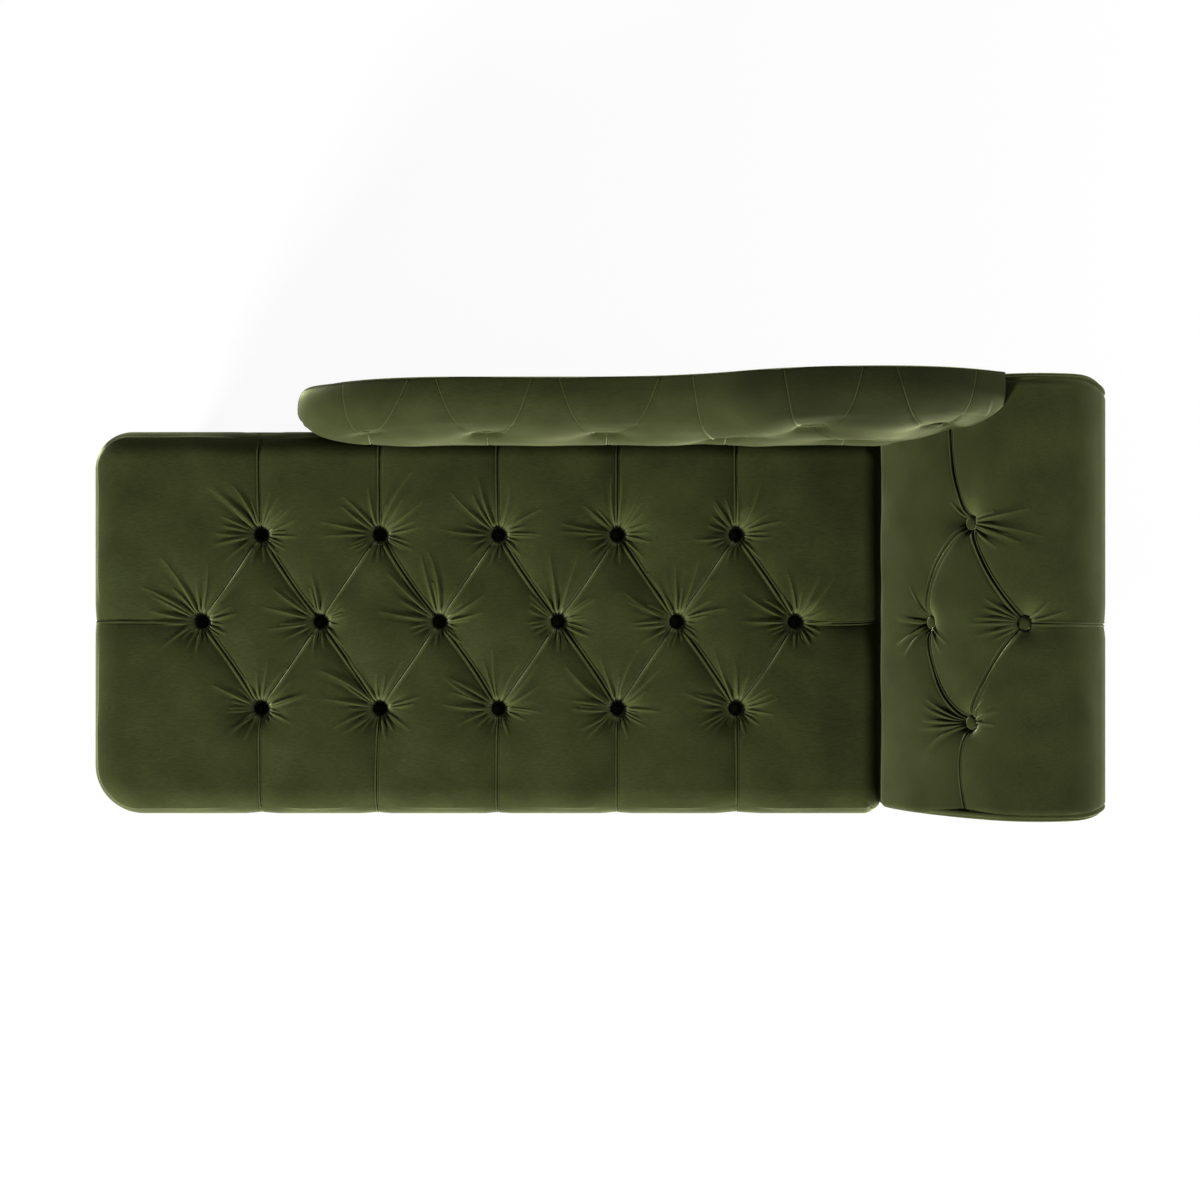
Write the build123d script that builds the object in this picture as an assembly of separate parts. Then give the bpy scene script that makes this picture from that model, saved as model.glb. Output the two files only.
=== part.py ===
from build123d import *
import math
import os

# Chaise longue: a button-tufted bench with a scrolled head end, a serpentine half back along
# one side and four tapered legs. Nothing on it moves in use.
# Frame: +X towards the scrolled head end, +Y towards the back, +Z up, millimetres.
# The origin is on the floor, under the middle of the overall box.

# Overall sizes
overall_length = 1716.0
overall_depth = 736.0
seat_height = 440.0
arm_height = 718.0
back_height = 845.0

# Legs
leg_height = 130.0
leg_top_width = 54.0
leg_foot_width = 32.0
leg_inset = 62.0
glide_radius = 13.0
glide_thickness = 4.0
glide_sides = 16
leg_bolt_radius = 4.0
leg_bolt_in_leg = 35.0
leg_bolt_in_block = 32.0
shank_sides = 8
corner_block_leg = 130.0
corner_block_height = 40.0

# Seat frame
rail_height = 110.0
rail_thickness = 25.0
tenon_thickness = 9.0
tenon_length = 18.0
tenon_shoulder = 12.0
cross_rail_count = 2
cross_rail_dip = 30.0
cross_rail_end = 40.0
webbing_width = 50.0
webbing_thickness = 2.0
webbing_edge = 3.0
insulator_thickness = 3.0
foam_thickness = 75.0
dust_cover_thickness = 1.0
dust_cover_inset = 12.0
dust_cover_clearance = 0.5

# Seat upholstery
border_thickness = 8.0
cushion_overhang = 16.0
cushion_corner_radius = 65.0
cushion_top_round = 48.0
cushion_bottom_bevel = 12.0
cushion_head_bevel = 20.0
upholstery_gap = 1.0

# Head end: a large inner sweep that runs tangent into the roll
roll_radius = 128.0
roll_overhang = 83.0
sweep_radius = 520.0
sweep_join_angle = 135.0
sweep_above_seat = 5.0
arm_pad_thickness = 40.0
arm_deck_thickness = 4.0
arm_pad_above_webbing = 5.0
facing_inset = 6.0
roll_rail_size = 60.0
slope_rail_size = 40.0
slope_rail_angle = 144.5
tuck_rail_height = 60.0

# Back: a serpentine panel bolted behind the rear rail
back_length = 1355.0
back_behind_seat = 68.0
back_over_seat = 34.0
back_above_seat = 2.0
back_low_height = 652.0
back_tip_radius = 285.0
back_hump_before_arm = 42.0
back_rise_run = 462.0
back_fall_radius = 248.0
back_end_before_crest = 62.0
back_bottom = 145.0
back_rail_height = 70.0
back_top_rail_height = 60.0
back_rail_thickness = 44.0
back_deck_thickness = 3.0
back_wrap = 40.0
back_head_wrap = 25.0
back_crest_round = 200.0
back_end_round = 60.0
back_round_power = 2.2
back_round_steps = 5
back_post_width = 50.0

# Tufting
button_radius = 11.0
button_top_radius = 6.5
button_foot_radius = 8.0
button_thickness = 8.0
button_rim_height = 3.5
button_clearance = 1.0
button_sides = 12
dimple_sides = 10
twine_width = 2.0
toggle_size = 16.0
toggle_thickness = 3.0
dimple_radius = 38.0
channel_depth = 25.0
channel_half_width = 78.0
edge_channel_depth = 10.0
edge_channel_half_width = 60.0
seat_tuft_pitch = 205.0
seat_tuft_row_pitch = 150.0
seat_first_tuft = 190.0
seat_tuft_depth = 42.0
arm_tuft_half_pitch = 163.0
arm_tuft_depth = 25.0
arm_channel_depth = 15.0
arm_channel_half_width = 60.0
arm_low_tuft_angle = 150.5
arm_side_tuft_angle = 139.5
arm_high_tuft_angle = 104.0
back_tuft_count = 5
back_first_tuft = 126.0
back_last_tuft = 71.0
back_tuft_level = 532.0
back_upper_tuft_clearance = 58.0
back_tuft_depth = 26.0
back_channel_depth = 17.0
back_channel_half_width = 60.0

# Bolts that hold the head end and the back to the seat frame
frame_bolt_radius = 4.0
bolt_head_radius = 8.0
bolt_head_thickness = 5.0
bolt_slot_width = 12.0
bolt_beside_rail = 80.0

# Places worked out from those sizes
x_foot = -overall_length / 2
x_head = overall_length / 2
y_front = -overall_depth / 2
y_rear = overall_depth / 2
seat_rear = y_rear - back_behind_seat

frame_foot = x_foot + cushion_overhang + border_thickness
frame_front = y_front + cushion_overhang + border_thickness
frame_rear = seat_rear - border_thickness
rail_top = leg_height + rail_height
webbing_top = rail_top + webbing_thickness
deck_top = webbing_top + insulator_thickness
foam_top = deck_top + foam_thickness
between_front = frame_front + rail_thickness
between_rear = frame_rear - rail_thickness

roll_x = x_head - roll_radius
roll_z = arm_height - roll_radius
sweep_x = roll_x - (sweep_radius - roll_radius) * math.cos(math.radians(sweep_join_angle))
sweep_z = roll_z - (sweep_radius - roll_radius) * math.sin(math.radians(sweep_join_angle))
sweep_start_z = seat_height + sweep_above_seat
arm_inner = sweep_x - math.sqrt(sweep_radius**2 - (sweep_start_z - sweep_z) ** 2)
board_inset = arm_pad_thickness + arm_deck_thickness
post_inner = arm_inner + board_inset
post_outer = x_head - roll_overhang
panel_inner = post_outer - border_thickness
arm_foot = deck_top + arm_pad_above_webbing
arm_front = y_front + cushion_overhang
board_front = arm_front + border_thickness
board_rear = y_rear - border_thickness
inside_front = board_front + rail_thickness
inside_rear = board_rear - rail_thickness

seat_end = arm_inner - upholstery_gap
seat_middle = (y_front + seat_rear) / 2

back_foot_end = x_head - back_length
back_head_end = roll_x - back_end_before_crest
back_hump = arm_inner - back_hump_before_arm
back_valley = back_hump - back_rise_run
back_front = seat_rear - back_over_seat
back_deck_front = seat_rear + upholstery_gap
back_frame_front = back_deck_front + back_deck_thickness
back_frame_rear = back_frame_front + back_rail_thickness
back_pad_bottom = seat_height + back_above_seat
back_tuft_first_x = back_foot_end + back_first_tuft
back_tuft_pitch = (arm_inner - back_last_tuft - back_tuft_first_x) / (back_tuft_count - 1)


def box(x0, x1, y0, y1, z0, z1):
    """A block between two corners."""
    return Pos((x0 + x1) / 2, (y0 + y1) / 2, (z0 + z1) / 2) * Box(x1 - x0, y1 - y0, z1 - z0)


def rod(start, end, radius):
    """A bolt's shank from one point to another, with few sides because it is hidden and repeats."""
    along = Vector(*end) - Vector(*start)
    return extrude(Plane(origin=start, z_dir=along) * RegularPolygon(radius, shank_sides), along.length)


def faceted(rings, sides, turn=0.0):
    """A form with flat sides about Z, from the corner radius and height of each ring, lowest first."""
    corners = []
    for radius, z in rings:
        angles = [math.radians(turn + 360 * i / sides) for i in range(sides)]
        corners.append([(radius * math.cos(a), radius * math.sin(a), z) for a in angles])
    outlines = [corners[0], corners[-1]]
    for low, high in zip(corners, corners[1:]):
        for i in range(sides):
            j = (i + 1) % sides
            outlines.append([low[i], low[j], high[j], high[i]])
    return Solid(Shell([Face(Wire.make_polygon(outline)) for outline in outlines]))


def along_y(face, y0, y1):
    """A face drawn in X and Z, carried from y0 to y1."""
    return extrude(Pos(0, y0, 0) * (Plane.XZ * face), y1 - y0, dir=(0, 1, 0))


def upright(plan, z0, z1):
    """A plan drawn in X and Y, carried from z0 to z1."""
    return extrude(Pos(0, 0, z0) * plan, z1 - z0, dir=(0, 0, 1))


def together(pieces):
    """Several separate solids as one node."""
    return Compound([solid for piece in pieces for solid in piece.solids()])


def tenoned_rail(x0, x1, y0, y1, z0, z1):
    """A rail along Y with a tenon at each end."""
    x = (x0 + x1) / 2
    half = tenon_thickness / 2
    low = z0 + tenon_shoulder
    tenons = box(x - half, x + half, y0 - tenon_length, y1 + tenon_length, low, z1 - tenon_shoulder)
    return box(x0, x1, y0, y1, z0, z1) + tenons


# Tufting, shared by the seat, the head end and the back


def channel_section(depth, half_width):
    """The valley of a pleat: two arcs that meet at its bottom and round onto the pillows beside it."""
    lift = depth * 0.35
    rise = depth + lift
    radius = (half_width**2 + rise**2) / (2 * rise)
    half_turn = math.asin(half_width / radius) / 2
    x = half_width - radius * math.sin(half_turn)
    y = lift - radius + radius * math.cos(half_turn)
    return make_face(
        [
            ThreePointArc((0, -depth), (x, y), (half_width, lift)),
            Line((half_width, lift), (-half_width, lift)),
            ThreePointArc((-half_width, lift), (-x, y), (0, -depth)),
        ]
    )


def channel(start, end, outward, depth, half_width):
    """A straight pleat's valley between two points of a padded surface."""
    along = Vector(*end) - Vector(*start)
    across = Vector(*outward).cross(along)
    section = Plane(origin=start, x_dir=across, z_dir=along) * channel_section(depth, half_width)
    return extrude(section, along.length)


def sunk(spot, outward, depth):
    """The plane at the bottom of a tuft, facing outward."""
    return Plane(origin=Vector(*spot) - Vector(*outward).normalized() * depth, z_dir=outward)


def dimple(spot, outward, depth):
    """The funnel that a button is pulled into, with a flat seat for the button."""
    lift = depth * 0.2
    foot = button_radius + button_clearance
    return sunk(spot, outward, depth) * faceted([(foot, 0), (dimple_radius, depth + lift)], dimple_sides)


def button(spot, outward, depth):
    """A covered button: a low dome with a drawn-in back."""
    rings = [(button_foot_radius, 0), (button_radius, button_rim_height)]
    rings.append((button_top_radius, button_thickness))
    return sunk(spot, outward, depth) * faceted(rings, button_sides)


def twine(spot, outward, depth, stop):
    """The twine that holds a button, from its back through the padding to stop below the surface."""
    section = sunk(spot, outward, depth) * Rectangle(twine_width, twine_width)
    return extrude(section, stop - depth, dir=Vector(*outward) * -1)


def toggle(spot, outward, stop):
    """The small plate that a twine is tied to, behind what carries the padding."""
    section = sunk(spot, outward, stop) * Rectangle(toggle_size, toggle_size)
    return extrude(section, toggle_thickness, dir=Vector(*outward))


# Outlines


def seat_plan(grow, head_x):
    """Plan of the seat: square at the head end, rounded at the foot end. grow moves the sides out."""
    x0 = frame_foot - grow
    y0 = frame_front - grow
    y1 = frame_rear + min(grow, border_thickness)
    corner = cushion_corner_radius - cushion_overhang - border_thickness + grow
    plan = Pos((x0 + head_x) / 2, (y0 + y1) / 2) * Rectangle(head_x - x0, y1 - y0)
    return fillet(plan.vertices().sort_by(Axis.X)[:2], corner)


def scroll_edges(inset, bottom, end_angle):
    """The head end's outline from its inner foot, up the sweep and over the roll."""
    sweep = sweep_radius - inset
    inner = arm_inner + inset
    turn = math.degrees(math.acos((sweep_x - inner) / sweep))
    knee = sweep_z + sweep * math.sin(math.radians(turn))
    start = 180 - turn
    return [
        Line((inner, bottom), (inner, knee)),
        CenterArc((sweep_x, sweep_z), sweep, start, sweep_join_angle - start),
        CenterArc((roll_x, roll_z), roll_radius - inset, sweep_join_angle, -sweep_join_angle),
        CenterArc((roll_x, roll_z), roll_radius - inset, 0, end_angle),
    ]


def roll_underside(inset, x):
    """Angle round the roll, and height, at which its underside stands over x."""
    angle = -math.degrees(math.acos((x - roll_x) / (roll_radius - inset)))
    return angle, roll_z + (roll_radius - inset) * math.sin(math.radians(angle))


def scroll_face(inset, bottom, outer_x):
    """The head end's whole front outline, with its post down to bottom."""
    angle, under = roll_underside(inset, outer_x)
    edges = scroll_edges(inset, bottom, angle)
    edges.append(Line((outer_x, under), (outer_x, bottom)))
    edges.append(Line((outer_x, bottom), (arm_inner + inset, bottom)))
    return make_face(edges)


def scroll_layer(outer_inset, inner_inset):
    """A layer that wraps the head end, from its inner foot to under the roll."""
    outer_angle, outer_under = roll_underside(outer_inset, post_outer)
    inner_angle, inner_under = roll_underside(inner_inset, post_outer)
    edges = scroll_edges(outer_inset, arm_foot, outer_angle)
    edges += scroll_edges(inner_inset, arm_foot, inner_angle)
    edges.append(Line((post_outer, outer_under), (post_outer, inner_under)))
    edges.append(Line((arm_inner + inner_inset, arm_foot), (arm_inner + outer_inset, arm_foot)))
    return make_face(edges)


def head_end_space(grow):
    """The space that the head end takes up, grown all round, which the back is cut to."""
    right = x_head + grow
    edges = scroll_edges(-grow, 0, -1)[:3]
    edges.append(Line((right, roll_z), (right, 0)))
    edges.append(Line((right, 0), (arm_inner - grow, 0)))
    return along_y(make_face(edges), y_front, y_rear)


def back_face(inset, drop=0.0, end=0.0):
    """The back seen from the front: a quarter-round tip, a low run, a cyma up to the hump, and its fall.

    inset moves the whole outline in, drop lowers its crest and end moves its foot end in.
    """
    foot = back_foot_end + inset + end
    rise = back_height - back_low_height
    cyma = (back_rise_run**2 + rise**2) / (4 * rise)
    turn = math.degrees(math.asin(back_rise_run / 2 / cyma))
    tip = back_foot_end + back_tip_radius + end
    tip_z = back_low_height - back_tip_radius - drop
    low = back_low_height - inset - drop
    fall = back_fall_radius - inset
    head = back_hump + fall
    fall_z = back_height - back_fall_radius - drop
    return make_face(
        [
            Line((foot, back_bottom), (foot, tip_z)),
            CenterArc((tip, tip_z), back_tip_radius - inset, 180, -90),
            Line((tip, low), (back_valley, low)),
            CenterArc((back_valley, back_low_height - drop + cyma), cyma + inset, 270, turn),
            CenterArc((back_hump, back_height - drop - cyma), cyma - inset, 90 + turn, -turn),
            CenterArc((back_hump, fall_z), fall, 90, -90),
            Line((head, fall_z), (head, back_bottom)),
            Line((head, back_bottom), (foot, back_bottom)),
        ]
    )


def back_padding():
    """The back's padding in full: thin along its crest and foot end, and swelling forward below them."""
    faces = []
    for i in range(back_round_steps + 1):
        share = (i / back_round_steps) ** 2
        swell = (1 - (1 - share) ** back_round_power) ** (1 / back_round_power)
        y = back_frame_rear - (back_frame_rear - back_front) * swell
        outline = back_face(0, back_crest_round * share, back_end_round * share)
        faces.append(Pos(0, y, 0) * (Plane.XZ * outline))
    layers = [loft([rear, front], ruled=True) for rear, front in zip(faces, faces[1:])]
    return layers[0] + layers[1:]


def back_limits(inset, gap):
    """What the back is cut to at its head end: its own square end and the head end it stands against."""
    end = box(back_head_end - inset, x_head, y_front, y_rear, back_bottom, back_height)
    return [end, head_end_space(inset + gap)]


# Where the buttons are and how the pleats run


def seat_tufts():
    """Three rows of buttons on the seat, the pleats among them and the pleats from them to each edge."""
    first = x_foot + seat_first_tuft
    count = int((seat_end - first - seat_tuft_pitch / 2) // seat_tuft_pitch) + 1
    middle = [(first + seat_tuft_pitch * i, seat_middle) for i in range(count)]
    rows = []
    pleats = []
    for side in (1, -1):
        y = seat_middle + side * seat_tuft_row_pitch
        row = [(first + seat_tuft_pitch * (i + 0.5), y) for i in range(count - 1)]
        for i, spot in enumerate(row):
            pleats.append((middle[i], spot))
            pleats.append((middle[i + 1], spot))
        rows.append(row)
    to_rear = [(spot, (spot[0], seat_rear)) for spot in rows[0]]
    to_front = [(spot, (spot[0], y_front)) for spot in rows[1]]
    to_foot = (middle[0], (x_foot, seat_middle))
    to_head = (middle[-1], (seat_end, seat_middle))
    return middle + rows[0] + rows[1], pleats, to_rear + to_front + [to_foot], to_head


def arm_place(angle, y):
    """A point of the head end's padded surface and its outward direction, at an angle round it."""
    outward = (math.cos(math.radians(angle)), 0.0, math.sin(math.radians(angle)))
    if angle > sweep_join_angle:
        return (sweep_x + sweep_radius * outward[0], y, sweep_z + sweep_radius * outward[2]), outward
    return (roll_x + roll_radius * outward[0], y, roll_z + roll_radius * outward[2]), outward


def arm_channel(from_angle, from_y, to_angle, to_y):
    """A pleat's valley between two places of the head end."""
    start, out_start = arm_place(from_angle, from_y)
    end, out_end = arm_place(to_angle, to_y)
    outward = Vector(*out_start) + Vector(*out_end)
    return channel(start, end, outward, arm_channel_depth, arm_channel_half_width)


def back_tufts():
    """A row of buttons along the back, and a pair under the hump, clear of the head end."""
    low = [(back_tuft_first_x + back_tuft_pitch * i, back_tuft_level) for i in range(back_tuft_count)]
    high_x = [back_hump + side * back_tuft_pitch / 2 for side in (-1, 1)]
    reach = sweep_radius + back_upper_tuft_clearance
    level = sweep_z + math.sqrt(reach**2 - (sweep_x - high_x[1]) ** 2)
    return low, [(x, level) for x in high_x]


# Legs and what holds them


def leg_corners():
    """Each leg's frame corner, and the way from that corner into the frame."""
    return {
        "foot_front": (frame_foot, frame_front, 1, 1),
        "foot_rear": (frame_foot, frame_rear, 1, -1),
        "head_front": (panel_inner, board_front, -1, 1),
        "head_rear": (panel_inner, board_rear, -1, -1),
    }


def corner_block(x, y, to_x, to_y):
    """A triangular block glued into a frame corner, level with the rails' undersides."""
    inner_x = x + to_x * rail_thickness
    inner_y = y + to_y * rail_thickness
    corners = [
        (inner_x, inner_y),
        (inner_x + to_x * corner_block_leg, inner_y),
        (inner_x, inner_y + to_y * corner_block_leg),
    ]
    return upright(make_face(Polyline(*corners, close=True)), leg_height, leg_height + corner_block_height)


nodes = {}

# Seat frame
frame_space = upright(seat_plan(0, post_inner), leg_height, rail_top)
front_rail = frame_space & box(frame_foot, post_inner, frame_front, between_front, leg_height, rail_top)
rear_rail = frame_space & box(frame_foot, post_inner, between_rear, frame_rear, leg_height, rail_top)
foot_rail = frame_space & box(
    frame_foot, frame_foot + rail_thickness, between_front, between_rear, leg_height, rail_top
)
head_rail = tenoned_rail(
    post_inner - rail_thickness, post_inner, between_front, between_rear, leg_height, rail_top
)
cross_rails = []
cross_pitch = (post_inner - frame_foot) / (cross_rail_count + 1)
cross_x = [frame_foot + cross_pitch * (i + 1) for i in range(cross_rail_count)]
for x in cross_x:
    x0 = x - rail_thickness / 2
    x1 = x + rail_thickness / 2
    rail = tenoned_rail(x0, x1, between_front, between_rear, leg_height, rail_top)
    dip_front = between_front + cross_rail_end
    dip_rear = between_rear - cross_rail_end
    cross_rails.append(rail - box(x0, x1, dip_front, dip_rear, rail_top - cross_rail_dip, rail_top))
front_rail = front_rail - [head_rail, *cross_rails]
rear_rail = rear_rail - [head_rail, *cross_rails]

# Legs
legs = {}
glides = []
leg_bolts = []
corner_blocks = []
leg_rings = [(leg_foot_width / math.sqrt(2), glide_thickness), (leg_top_width / math.sqrt(2), leg_height)]
glide_rings = [(glide_radius, 0), (glide_radius, glide_thickness)]
for name, (x, y, to_x, to_y) in leg_corners().items():
    at_x = x + to_x * leg_inset
    at_y = y + to_y * leg_inset
    bolt_bottom = leg_height - leg_bolt_in_leg
    bolt_top = leg_height + leg_bolt_in_block
    bolt = rod((at_x, at_y, bolt_bottom), (at_x, at_y, bolt_top), leg_bolt_radius)
    legs[name] = Pos(at_x, at_y, 0) * faceted(leg_rings, 4, 45) - bolt
    glides.append(Pos(at_x, at_y, 0) * faceted(glide_rings, glide_sides))
    corner_blocks.append(corner_block(x, y, to_x, to_y) - bolt)
    leg_bolts.append(bolt)

# Seat suspension and filling
tuft_spots, diamond_pleats, edge_pleats, head_pleat = seat_tufts()
seat_up = (0, 0, 1)
seat_places = [(x, y, seat_height) for x, y in tuft_spots]
toggle_depth = seat_height - rail_top + toggle_thickness
seat_twines = [twine(spot, seat_up, seat_tuft_depth, toggle_depth) for spot in seat_places]
seat_toggles = [toggle(spot, seat_up, toggle_depth) for spot in seat_places]
seat_toggles = [piece - string for piece, string in zip(seat_toggles, seat_twines)]

strap_x = sorted({x for x, y in tuft_spots})
straps = []
for x in [strap_x[0] - seat_tuft_pitch / 2, *strap_x, strap_x[-1] + seat_tuft_pitch / 2]:
    strap = box(
        x - webbing_width / 2,
        x + webbing_width / 2,
        frame_front + webbing_edge,
        frame_rear - webbing_edge,
        rail_top,
        webbing_top,
    )
    straps.append(strap - seat_twines)
insulator = upright(seat_plan(-webbing_edge, seat_end), webbing_top, deck_top) - seat_twines
foam = upright(seat_plan(0, seat_end), deck_top, foam_top) - seat_twines

# Tufted seat cover
pad = upright(seat_plan(border_thickness + cushion_overhang, seat_end), foam_top, seat_height)
pad_edges = pad.edges().filter_by(lambda edge: edge.center().X < seat_end - 1)
pad = fillet(pad_edges.filter_by_position(Axis.Z, seat_height, seat_height), cushion_top_round)
pad_edges = pad.edges().filter_by(lambda edge: edge.center().X < seat_end - 1)
pad = chamfer(pad_edges.filter_by_position(Axis.Z, foam_top, foam_top), cushion_bottom_bevel)
head_edge = [
    (seat_end, seat_height),
    (seat_end - cushion_head_bevel, seat_height),
    (seat_end, seat_height - cushion_head_bevel),
]
pad = pad - along_y(make_face(Polyline(*head_edge, close=True)), y_front, seat_rear)
seat_cuts = [dimple(spot, seat_up, seat_tuft_depth) for spot in seat_places]
for start, end in [*diamond_pleats, *edge_pleats, head_pleat]:
    top_start = (*start, seat_height)
    top_end = (*end, seat_height)
    seat_cuts.append(channel(top_start, top_end, seat_up, channel_depth, channel_half_width))
for start, end in edge_pleats:
    outward = (Vector(*end) - Vector(*start)).normalized()
    foot = (*end, foam_top)
    shoulder = (*end, seat_height)
    seat_cuts.append(channel(foot, shoulder, outward, edge_channel_depth, edge_channel_half_width))
seat_cover = pad - seat_cuts - seat_twines

# Border round the seat, below the cushion
border_plan = seat_plan(border_thickness, seat_end) - seat_plan(0, post_inner)
border = upright(border_plan, leg_height, foam_top)

# Head end frame
board_face = scroll_face(board_inset, leg_height, panel_inner)
arm_rails = {
    "arm_inner_rail": tenoned_rail(
        post_inner, post_inner + rail_thickness, inside_front, inside_rear, leg_height, rail_top
    ),
    "arm_outer_rail": tenoned_rail(
        panel_inner - rail_thickness, panel_inner, inside_front, inside_rear, leg_height, rail_top
    ),
    "arm_tuck_rail": tenoned_rail(
        post_inner,
        post_inner + rail_thickness,
        inside_front,
        inside_rear,
        arm_foot,
        arm_foot + tuck_rail_height,
    ),
    "arm_roll_rail": tenoned_rail(
        roll_x - roll_rail_size / 2,
        roll_x + roll_rail_size / 2,
        inside_front,
        inside_rear,
        roll_z - roll_rail_size / 2,
        roll_z + roll_rail_size / 2,
    ),
}
deck_radius = sweep_radius - board_inset
slope_seat = math.sqrt(deck_radius**2 - (slope_rail_size / 2) ** 2) - upholstery_gap / 4
slope_rail = tenoned_rail(
    slope_seat - slope_rail_size,
    slope_seat,
    inside_front,
    inside_rear,
    -slope_rail_size / 2,
    slope_rail_size / 2,
)
arm_rails["arm_slope_rail"] = Pos(sweep_x, 0, sweep_z) * Rot(0, -slope_rail_angle, 0) * slope_rail
arm_boards = {
    "arm_front_board": along_y(board_face, board_front, inside_front) - list(arm_rails.values()),
    "arm_rear_board": along_y(board_face, inside_rear, board_rear) - list(arm_rails.values()),
}

# Head end upholstery
low_tuft = (arm_low_tuft_angle, seat_middle)
rear_tuft = (arm_side_tuft_angle, seat_middle + arm_tuft_half_pitch)
front_tuft = (arm_side_tuft_angle, seat_middle - arm_tuft_half_pitch)
high_tuft = (arm_high_tuft_angle, seat_middle)
arm_places = [arm_place(*place) for place in (low_tuft, rear_tuft, front_tuft, high_tuft)]
arm_toggle_depth = board_inset + toggle_thickness + upholstery_gap / 2
arm_twines = [twine(spot, outward, arm_tuft_depth, arm_toggle_depth) for spot, outward in arm_places]
arm_toggles = [toggle(spot, outward, arm_toggle_depth) for spot, outward in arm_places]
arm_toggles = [piece - string for piece, string in zip(arm_toggles, arm_twines)]
arm_deck = along_y(scroll_layer(arm_pad_thickness, board_inset), board_front, board_rear) - arm_twines

arm_pad = along_y(scroll_layer(0, arm_pad_thickness), board_front, board_rear)
sweep_foot_angle = 180 - math.degrees(math.acos((sweep_x - arm_inner) / sweep_radius))
arm_cuts = [dimple(spot, outward, arm_tuft_depth) for spot, outward in arm_places]
arm_cuts += [arm_channel(*low_tuft, *side) for side in (rear_tuft, front_tuft)]
arm_cuts += [arm_channel(*high_tuft, *side) for side in (rear_tuft, front_tuft)]
arm_cuts.append(arm_channel(*low_tuft, sweep_foot_angle, seat_middle))
arm_cuts.append(arm_channel(*rear_tuft, arm_side_tuft_angle, board_rear))
arm_cuts.append(arm_channel(*front_tuft, arm_side_tuft_angle, board_front))
spot, outward = arm_place(*high_tuft)
roll_section = Plane(origin=spot, x_dir=(0, 1, 0), z_dir=Vector(0, 1, 0).cross(Vector(*outward)))
roll_valley = roll_section * channel_section(arm_channel_depth, arm_channel_half_width)
roll_axis = Axis((roll_x, 0, roll_z), (0, 1, 0))
arm_cuts.append(revolve(roll_valley, roll_axis, arm_high_tuft_angle))
pad_inner = arm_inner + arm_pad_thickness
behind_seat = box(arm_inner, pad_inner, back_deck_front, board_rear, leg_height, arm_foot)
arm_cover = arm_pad - arm_cuts - arm_twines + behind_seat

facing = scroll_face(facing_inset, leg_height, post_outer)
panel_top = roll_underside(0, panel_inner)[1] - upholstery_gap
arm_panel = box(panel_inner, post_outer, board_front, board_rear, leg_height, panel_top)

# Back frame
low_tufts, high_tufts = back_tufts()
back_out = (0, -1, 0)
back_places = [(x, back_front, z) for x, z in low_tufts + high_tufts]
back_toggle_depth = back_frame_front - back_front + toggle_thickness
back_twines = [twine(spot, back_out, back_tuft_depth, back_toggle_depth) for spot in back_places]
back_toggles = [toggle(spot, back_out, back_toggle_depth) for spot in back_places]
back_toggles = [piece - string for piece, string in zip(back_toggles, back_twines)]

core = along_y(back_face(back_wrap), back_deck_front, back_frame_rear)
core = core - back_limits(back_head_wrap, upholstery_gap)
core_box = core.bounding_box()
core_head = arm_inner - back_head_wrap - upholstery_gap
deck_slice = box(
    core_box.min.X, core_box.max.X, back_deck_front, back_frame_front, core_box.min.Z, core_box.max.Z
)
back_deck = (core & deck_slice) - back_twines
back_frame = core - deck_slice
rail_over = back_bottom + back_rail_height
bottom_slice = box(
    core_box.min.X, core_head, back_frame_front, back_frame_rear, back_bottom, rail_over
)
back_bottom_rail = back_frame & bottom_slice
back_top_rail = back_frame - Pos(0, 0, -back_top_rail_height) * back_frame - bottom_slice
post_x = [core_box.min.X + back_post_width / 2]
post_x += [(low_tufts[i][0] + low_tufts[i + 1][0]) / 2 for i in range(1, len(low_tufts) - 2)]
post_x.append(core_head - back_post_width / 2)
back_posts = []
for x in post_x:
    column = box(
        x - back_post_width / 2,
        x + back_post_width / 2,
        back_frame_front,
        back_frame_rear,
        rail_over,
        back_height,
    )
    back_posts.append((back_frame & column) - back_top_rail)
back_top_rail = back_top_rail - [*back_toggles, *back_twines]
back_posts = [post - [*back_toggles, *back_twines] for post in back_posts]

# Back upholstery
seat_space = box(x_foot, x_head, back_front, back_deck_front, back_bottom, back_pad_bottom)
back_pad = back_padding() - seat_space - core - back_limits(0, upholstery_gap)
back_cuts = [dimple(spot, back_out, back_tuft_depth) for spot in back_places]
high_level = high_tufts[0][1]
for x, z in low_tufts:
    ends = [(x + side * back_tuft_pitch / 2, high_level) for side in (-1, 1)]
    for end_x, end_z in [(x, back_pad_bottom), *ends]:
        start = (x, back_front, z)
        end = (end_x, back_front, end_z)
        back_cuts.append(channel(start, end, back_out, back_channel_depth, back_channel_half_width))
for x, z in high_tufts:
    for side in (-1, 1):
        start = (x, back_front, z)
        end = (x + side * back_tuft_pitch / 2, back_front, 2 * high_level - back_tuft_level)
        back_cuts.append(channel(start, end, back_out, back_channel_depth, back_channel_half_width))
back_cover = back_pad - back_cuts - back_twines
back_panel = along_y(back_face(0), back_frame_rear, y_rear) - back_limits(0, upholstery_gap)

# Bolts between the units
bolt_z = leg_height + rail_height / 2


def frame_bolt(start, end, head_from, nut_to):
    """A bolt along X or Y with a hexagon head before start and a hexagon nut at its end."""
    along = Vector(*end) - Vector(*start)
    hexagon = RegularPolygon(bolt_head_radius, 6)
    head = extrude(Plane(origin=head_from, z_dir=along) * hexagon, bolt_head_thickness)
    nut = extrude(Plane(origin=nut_to, z_dir=along * -1) * hexagon, bolt_head_thickness)
    return rod(start, end, frame_bolt_radius) + head + nut


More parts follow.
